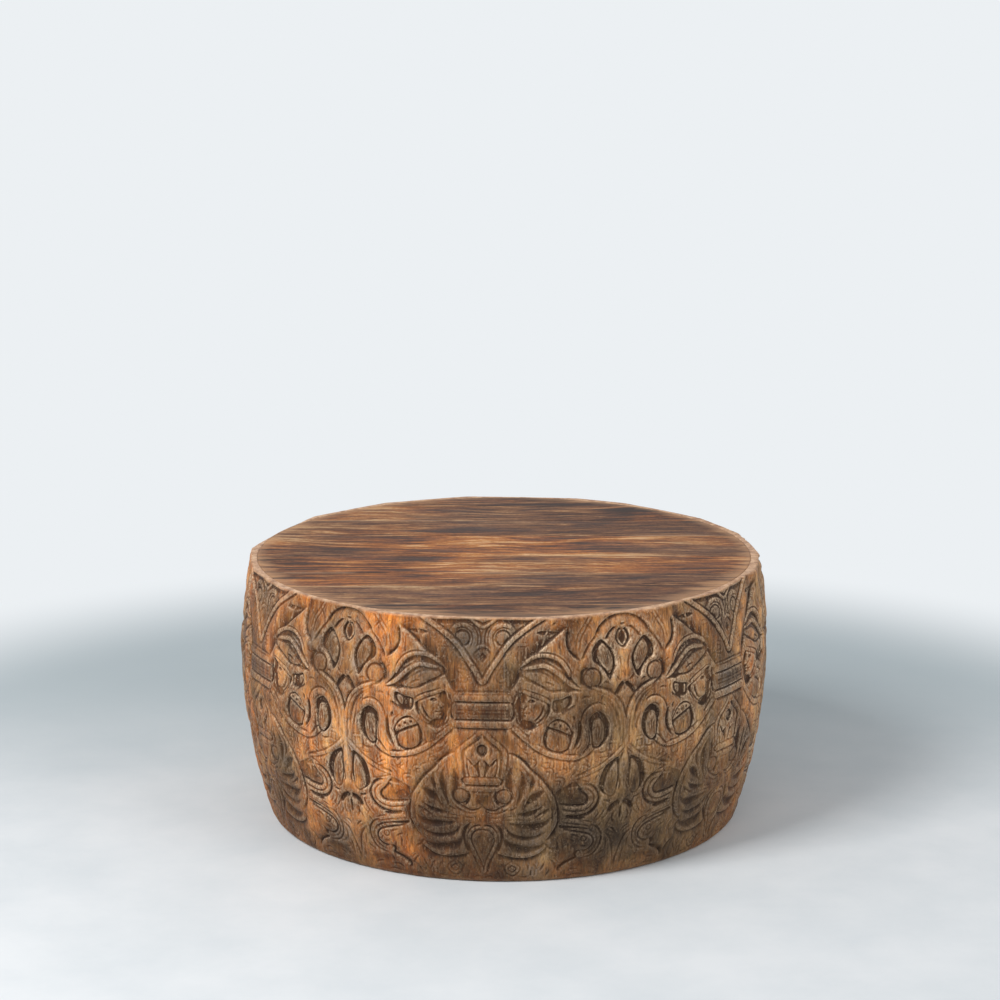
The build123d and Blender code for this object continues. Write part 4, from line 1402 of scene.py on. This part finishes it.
    # end grain on the rim, and bare sawn wood inside
    end = add(ramp, {"stops": look["end"]}, {"Fac": rim})["Color"]
    wood = add(mix, {"data_type": "RGBA"}, {0: endGrain, 6: wood, 7: end})[2]
    sawn = toLinear(look["sawn"])
    bare = add(mix, {"data_type": "RGBA", "blend_type": "MULTIPLY", 0: 0.6, 6: sawn}, {7: fibreShade})[2]
    wood = add(mix, {"data_type": "RGBA"}, {0: behind, 6: wood, 7: bare})[2]

    ripple = add(calc, {"operation": "MULTIPLY_ADD", 1: 0.6}, {0: speck, 2: fibre})[0]
    ripple = add(calc, {"operation": "MULTIPLY_ADD", 1: -0.7}, {0: line, 2: ripple})[0]
    bump = add("ShaderNodeBump", {"Strength": 0.8, "Distance": look["ripple"]}, {"Height": ripple})[0]
    rough = add(
        mapRange, {"From Min": 0.3, "From Max": 0.7, "To Min": 0.4, "To Max": 0.66}, {"Value": patch},
    )[0]
    worn = {"Base Color": wood, "Roughness": rough, "Normal": bump}
    shader = add("ShaderNodeBsdfPrincipled", {"Specular IOR Level": 0.2}, worn)
    add("ShaderNodeOutputMaterial", {}, {"Surface": shader[0]})
    return material


boardFinish = {
    "fibre": 1.5,
    "pore": 2.2,
    "fine": 7.0,
    "streak": 30.0,
    "apart": (3.71, 0, 1.93),  # metres between the places that two boards were cut from
    "bend": 150.0,
    "bendDepth": 0.07,  # metres
    "cloud": 170.0,
    "heart": 210.0,
    "glowAndHeartPlace": (-0.03, -0.02, 0.45),
    "ripple": 0.0003,
    "brown": (
        (0.0, "#2C190F"), (0.22, "#4B2D1C"), (0.45, "#6C462E"), (0.68, "#8A6040"), (0.88, "#A77F59"),
        (1.0, "#C7A278"),
    ),
    "orange": (
        (0.0, "#341E12"), (0.22, "#5C351F"), (0.45, "#884F2A"), (0.68, "#AF6B34"), (0.88, "#C98A4C"),
        (1.0, "#DDB083"),
    ),
    "glue": "#C9AC8A",
    "rubbedAndHighlit": "#C0956F",
}


def planedBoards():
    # planed boards under a thin wax: long dark streaks, orange heartwood in clouds, and pale glue lines
    material, add = newMaterial("planedBoards")
    look = boardFinish
    spot = add("ShaderNodeTexCoord")["Object"]
    board, joint, rimEnd = (
        add("ShaderNodeAttribute", {"attribute_name": name})["Fac"] for name in ("board", "joint", "rimEnd")
    )
    shift = add("ShaderNodeCombineXYZ", {}, {0: board, 2: board})[0]
    apart = {"operation": "MULTIPLY_ADD", 1: look["apart"]}
    own = add("ShaderNodeVectorMath", apart, {0: shift, 2: spot})[0]
    # the grain runs in long bends round hidden knots
    loose = add("ShaderNodeMapping", {"Scale": (0.5, 1, 1)}, {"Vector": own})[0]
    bend = add(noise, {"Scale": perMetre(look["bend"]), "Detail": 1.0}, {"Vector": loose})["Color"]
    bent = {"operation": "MULTIPLY_ADD", 1: (0, look["bendDepth"], 0)}
    own = add("ShaderNodeVectorMath", bent, {0: bend, 2: own})[0]
    patterns = []
    for name, stretch, detail, coarse, bent in (  # the stretch is along the grain
        ("fibre", 0.07, 4, 0.66, 0), ("pore", 0.3, 3, 0.7, 0), ("fine", 0.07, 6, 0.72, 0.4),
        ("streak", 0.12, 9, 0.66, 1), ("cloud", 0.45, 5, 0.55, 0.6), ("heart", 0.5, 6, 0.6, 0),
    ):
        stretched = add("ShaderNodeMapping", {"Scale": (stretch, 1, 1)}, {"Vector": own})[0]
        settings = {"Scale": perMetre(look[name]), "Detail": detail, "Roughness": coarse, "Distortion": bent}
        patterns.append(add(noise, settings, {"Vector": stretched})["Fac"])
    fibre, pore, fine, streak, cloud, heart = patterns
    both = add(calc, {"operation": "MULTIPLY", 1: 0.36}, {0: fine})[0]
    for source, weight in ((streak, 0.36), (cloud, 0.28), (pore, 0.12)):
        both = add(calc, {"operation": "MULTIPLY_ADD", 1: weight}, {0: source, 2: both})[0]
    spread = add(mapRange, {"From Min": 0.489, "From Max": 0.636}, {"Value": both})[0]
    # a painted pool of light in the middle of the top, where there is also more of the orange heartwood
    fromGlowAndHeart = add(
        "ShaderNodeVectorMath", {"operation": "DISTANCE", 1: look["glowAndHeartPlace"]}, {0: spot},
    )["Value"]
    near = add(
        mapRange, {"From Min": 0.34, "From Max": 0.0, "To Min": -0.045, "To Max": 0.11},
        {"Value": fromGlowAndHeart},
    )[0]
    heart = add(calc, {"operation": "ADD"}, {0: heart, 1: near})[0]
    heart = add(mapRange, {"From Min": 0.47, "From Max": 0.62, "To Max": 0.95}, {"Value": heart})[0]
    # painted light: the middle of the top is made lighter
    light = add(calc, {"operation": "MULTIPLY", 1: 0.9}, {0: near})[0]
    spread = add(calc, {"operation": "ADD", "use_clamp": True}, {0: spread, 1: light})[0]
    brown = add(ramp, {"stops": look["brown"]}, {"Fac": spread})["Color"]
    orange = add(ramp, {"stops": look["orange"]}, {"Fac": spread})["Color"]
    wood = add(mix, {"data_type": "RGBA"}, {0: heart, 6: brown, 7: orange})[2]
    fibreShade = add(ramp, {"stops": ((0.34, 0.36), (0.48, 0.9), (0.62, 1.0))}, {"Fac": fibre})["Color"]
    wood = add(mix, {"data_type": "RGBA", "blend_type": "MULTIPLY", 0: 0.8}, {6: wood, 7: fibreShade})[2]
    glue = add(ramp, {"stops": ((0.48, 0.0), (0.58, 0.7))}, {"Fac": cloud})["Color"]
    glue = add(calc, {"operation": "MULTIPLY", "use_clamp": True}, {0: glue, 1: joint})[0]
    wood = add(mix, {"data_type": "RGBA", 7: toLinear(look["glue"])}, {0: glue, 6: wood})[2]
    # hands and trays have rubbed the top paler along the rim; towards the front the pale band is wider and
    # partly a painted highlight
    rubbedAndHighlit = add(calc, {"operation": "MULTIPLY_ADD", 1: 3.4}, {0: streak, 2: rimEnd})[0]
    rubbedAndHighlit = add(mapRange, {"From Min": 1.98, "From Max": 3.15, "To Max": 0.85}, {"Value": rubbedAndHighlit})[0]
    wood = add(mix, {"data_type": "RGBA", 7: toLinear(look["rubbedAndHighlit"])}, {0: rubbedAndHighlit, 6: wood})[2]
    ripple = add(calc, {"operation": "MULTIPLY_ADD", 1: 0.5}, {0: fine, 2: fibre})[0]
    bump = add("ShaderNodeBump", {"Strength": 0.5, "Distance": look["ripple"]}, {"Height": ripple})[0]
    rough = add(
        mapRange, {"From Min": 0.3, "From Max": 0.7, "To Min": 0.5, "To Max": 0.7}, {"Value": streak},
    )[0]
    worn = {"Base Color": wood, "Roughness": rough, "Normal": bump}
    shader = add("ShaderNodeBsdfPrincipled", {"Specular IOR Level": 0.2}, worn)
    add("ShaderNodeOutputMaterial", {}, {"Surface": shader[0]})
    return material


pineFinish = {
    "grain": 9.0,
    "sawMarks": 3.0,  # mm from one tooth's mark to the next
    "waveTurn": 6.28,  # the wave pattern counts in turns
    "ripple": 0.0004,
    "colours": ((0.3, "#8E6B45"), (0.5, "#B18D61"), (0.75, "#C9A77C")),
}


def sawnPine():
    # rough sawn and left bare: saw marks across, pale and dull
    material, add = newMaterial("sawnPine")
    look = pineFinish
    spot = add("ShaderNodeTexCoord")["Object"]
    grain = add(
        noise, {"Scale": perMetre(look["grain"]), "Detail": 5.0, "Distortion": 1.2}, {"Vector": spot},
    )["Fac"]
    saw = add("ShaderNodeTexWave", {
        "bands_direction": "DIAGONAL", "Scale": perMetre(look["sawMarks"]) / look["waveTurn"],
        "Distortion": 1.5, "Detail": 2.0,
    }, {"Vector": spot})["Fac"]
    wood = add(ramp, {"stops": look["colours"]}, {"Fac": grain})["Color"]
    both = add(calc, {"operation": "MULTIPLY_ADD", 1: 0.5}, {0: saw, 2: grain})[0]
    bump = add("ShaderNodeBump", {"Strength": 0.5, "Distance": look["ripple"]}, {"Height": both})[0]
    shader = add("ShaderNodeBsdfPrincipled", {"Roughness": 0.75}, {"Base Color": wood, "Normal": bump})
    add("ShaderNodeOutputMaterial", {}, {"Surface": shader[0]})
    return material


zincFinish = {
    "cloud": 3.0,
    "colours": ((0.3, "#8F8E8A"), (0.7, "#B4B2AA")),
    "roughness": (0.32, 0.5),
}


def zincPlate():
    # zinc plated steel: grey metal with a dull, faintly cloudy skin
    material, add = newMaterial("zincPlate")
    look = zincFinish
    spot = add("ShaderNodeTexCoord")["Object"]
    cloud = add(noise, {"Scale": perMetre(look["cloud"]), "Detail": 3.0}, {"Vector": spot})["Fac"]
    tint = add(ramp, {"stops": look["colours"]}, {"Fac": cloud})["Color"]
    smooth, dull = look["roughness"]
    rough = add(
        mapRange, {"From Min": 0.3, "From Max": 0.7, "To Min": smooth, "To Max": dull}, {"Value": cloud},
    )[0]
    shader = add("ShaderNodeBsdfPrincipled", {"Metallic": 1.0}, {"Base Color": tint, "Roughness": rough})
    add("ShaderNodeOutputMaterial", {}, {"Surface": shader[0]})
    return material


studio = {
    "floor": "#D5DADD",
    "floorPale": "#E0E3E5",
    # painted shade on the floor behind the drum
    "floorShadeBehind": "#B4BFC3",  # the floor behind the drum is a little darker
    "backFrom": -0.2,  # metres behind the drum's axis, where the floor starts to darken
    "backTo": 0.85,
    "backShare": 0.85,
    "floorCloud": 3.5,  # how many faint clouds there are to a metre
    "backdrop": "#ECF0F3",
    "floorSize": 160.0,
    "floorFaces": 24,
    "backdropFrom": 1.15,  # metres from the drum's axis, where the floor starts to turn into the backdrop
    "backdropTo": 1.75,
    "sky": 0.49,
    "skyColour": "#F2F5F8",
    "keyWatts": 166.0,
    "keySize": 1.7,
    "keyPlace": (-2.6, -2.4, 3.6),
    "keyAim": (0, 0, 0.25),
    "fillWatts": 46.0,
    "fillSize": 2.0,
    "fillPlace": (3.2, -2.6, 2.8),
    "fillAim": (0, 0, 0.2),
    "cameraPlace": (0.0, -4.570, 1.588),
    "cameraTilt": 77.11,
    "lens": 98.1,
    "sensor": 36,
    "shift": -0.004,
    "clipEnd": 100,
}


def seenRays(add):
    # 1 for what the camera sees, directly or in a gloss or through glass
    path = add("ShaderNodeLightPath")
    seen = add(calc, {"operation": "MAXIMUM"}, {0: path["Is Camera Ray"], 1: path["Is Glossy Ray"]})[0]
    return add(calc, {"operation": "MAXIMUM"}, {0: seen, 1: path["Is Transmission Ray"]})[0]


def paleFloor():
    # a cloudy pale floor, with painted shade behind the drum, that turns into the backdrop behind the drum
    material, add = newMaterial("paleFloor")
    spot = add("ShaderNodeTexCoord")["Object"]
    cloud = add(
        noise, {"Scale": studio["floorCloud"], "Detail": 6.0, "Roughness": 0.6}, {"Vector": spot},
    )["Fac"]
    cloud = add(mapRange, {"From Min": 0.35, "From Max": 0.65}, {"Value": cloud})[0]
    floor, pale = toLinear(studio["floor"]), toLinear(studio["floorPale"])
    tint = add(mix, {"data_type": "RGBA", 6: floor, 7: pale}, {0: cloud})[2]
    # painted shade: the floor darkens behind the drum
    across = add("ShaderNodeSeparateXYZ", {}, {0: spot})[1]
    behind = add(mapRange, {
        "interpolation_type": "SMOOTHSTEP",
        "From Min": studio["backFrom"], "From Max": studio["backTo"], "To Max": studio["backShare"],
    }, {"Value": across})[0]
    tint = add(mix, {"data_type": "RGBA", 7: toLinear(studio["floorShadeBehind"])}, {0: behind, 6: tint})[2]
    dull = {"Roughness": 0.85, "Specular IOR Level": 0.2}
    shader = add("ShaderNodeBsdfPrincipled", dull, {"Base Color": tint})[0]
    backdrop = add("ShaderNodeEmission", {"Color": toLinear(studio["backdrop"])})[0]
    distance = add("ShaderNodeVectorMath", {"operation": "LENGTH"}, {0: spot})["Value"]
    far = add(mapRange, {
        "interpolation_type": "SMOOTHSTEP", "From Min": studio["backdropFrom"],
        "From Max": studio["backdropTo"],
    }, {"Value": distance})[0]
    far = add(calc, {"operation": "MULTIPLY"}, {0: far, 1: seenRays(add)})[0]
    both = add("ShaderNodeMixShader", {}, {0: far, 1: shader, 2: backdrop})[0]
    add("ShaderNodeOutputMaterial", {}, {"Surface": both})
    return material


def makeFloor():
    mesh = bpy.data.meshes.new("paleFloor")
    half, count = studio["floorSize"] / 2, studio["floorFaces"]
    steps = np.linspace(-half, half, count + 1)
    corner = (0, 1, count + 2, count + 1)
    faces = [[r * (count + 1) + c + turn for turn in corner] for r in range(count) for c in range(count)]
    mesh.from_pydata([(x, y, 0.0) for y in steps for x in steps], [], faces)
    mesh.materials.append(paleFloor())
    floor = addObject("paleFloor", mesh)


def makeLamp(name, place, size, watts, aim):
    lamp = bpy.data.lights.new(name, "AREA")
    lamp.size = size
    lamp.energy = watts
    holder = addObject(name, lamp)
    holder.location = place
    holder.rotation_euler = (Vector(aim) - Vector(place)).to_track_quat("-Z", "Y").to_euler()


def makeStudio():
    makeFloor()
    for name in ("key", "fill"):
        place, size, watts, aim = (studio[name + part] for part in ("Place", "Size", "Watts", "Aim"))
        makeLamp("soft" + name.capitalize(), place, size, watts, aim)
    world = bpy.data.worlds.new("paleRoom")
    bpy.context.scene.world = world
    world.use_nodes = True
    world.node_tree.nodes.clear()
    add = partial(addNode, world.node_tree)
    sky = {"Color": toLinear(studio["skyColour"]), "Strength": studio["sky"]}
    light = add("ShaderNodeBackground", sky)[0]
    back = add("ShaderNodeBackground", {"Color": toLinear(studio["backdrop"])})[0]
    both = add("ShaderNodeMixShader", {}, {0: seenRays(add), 1: light, 2: back})[0]
    add("ShaderNodeOutputWorld", {}, {"Surface": both})


def makeCamera():
    data = bpy.data.cameras.new("camera")
    data.sensor_width = studio["sensor"]
    data.lens = studio["lens"]
    data.shift_x = studio["shift"]
    data.clip_end = studio["clipEnd"]
    camera = addObject("camera", data)
    camera.location = studio["cameraPlace"]
    camera.rotation_euler = (math.radians(studio["cameraTilt"]), 0, 0)
    bpy.context.scene.camera = camera


def dressFrame():
    # the hoops, battens and screws are the CAD's own solids
    pine, zinc = sawnPine(), zincPlate()
    for name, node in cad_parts.items():
        if name.endswith("_screws"):
            finish = zinc
        elif "hoop" in name or "batten" in name:
            finish = pine
        else:
            continue
        for slot in node.material_slots:
            slot.material = finish
        if not node.material_slots:
            node.data.materials.append(finish)


makeCamera()
makeStudio()
print("camera, floor and light made")
makeStaves(carvedHardwood())
print("staves made:", drum["staveCount"])
makeBoards(planedBoards())
print("boards made:", len(boardTop["shares"]))
dressFrame()
print("hoops, battens and screws dressed")

bpy.context.scene.view_settings.view_transform = "Standard"
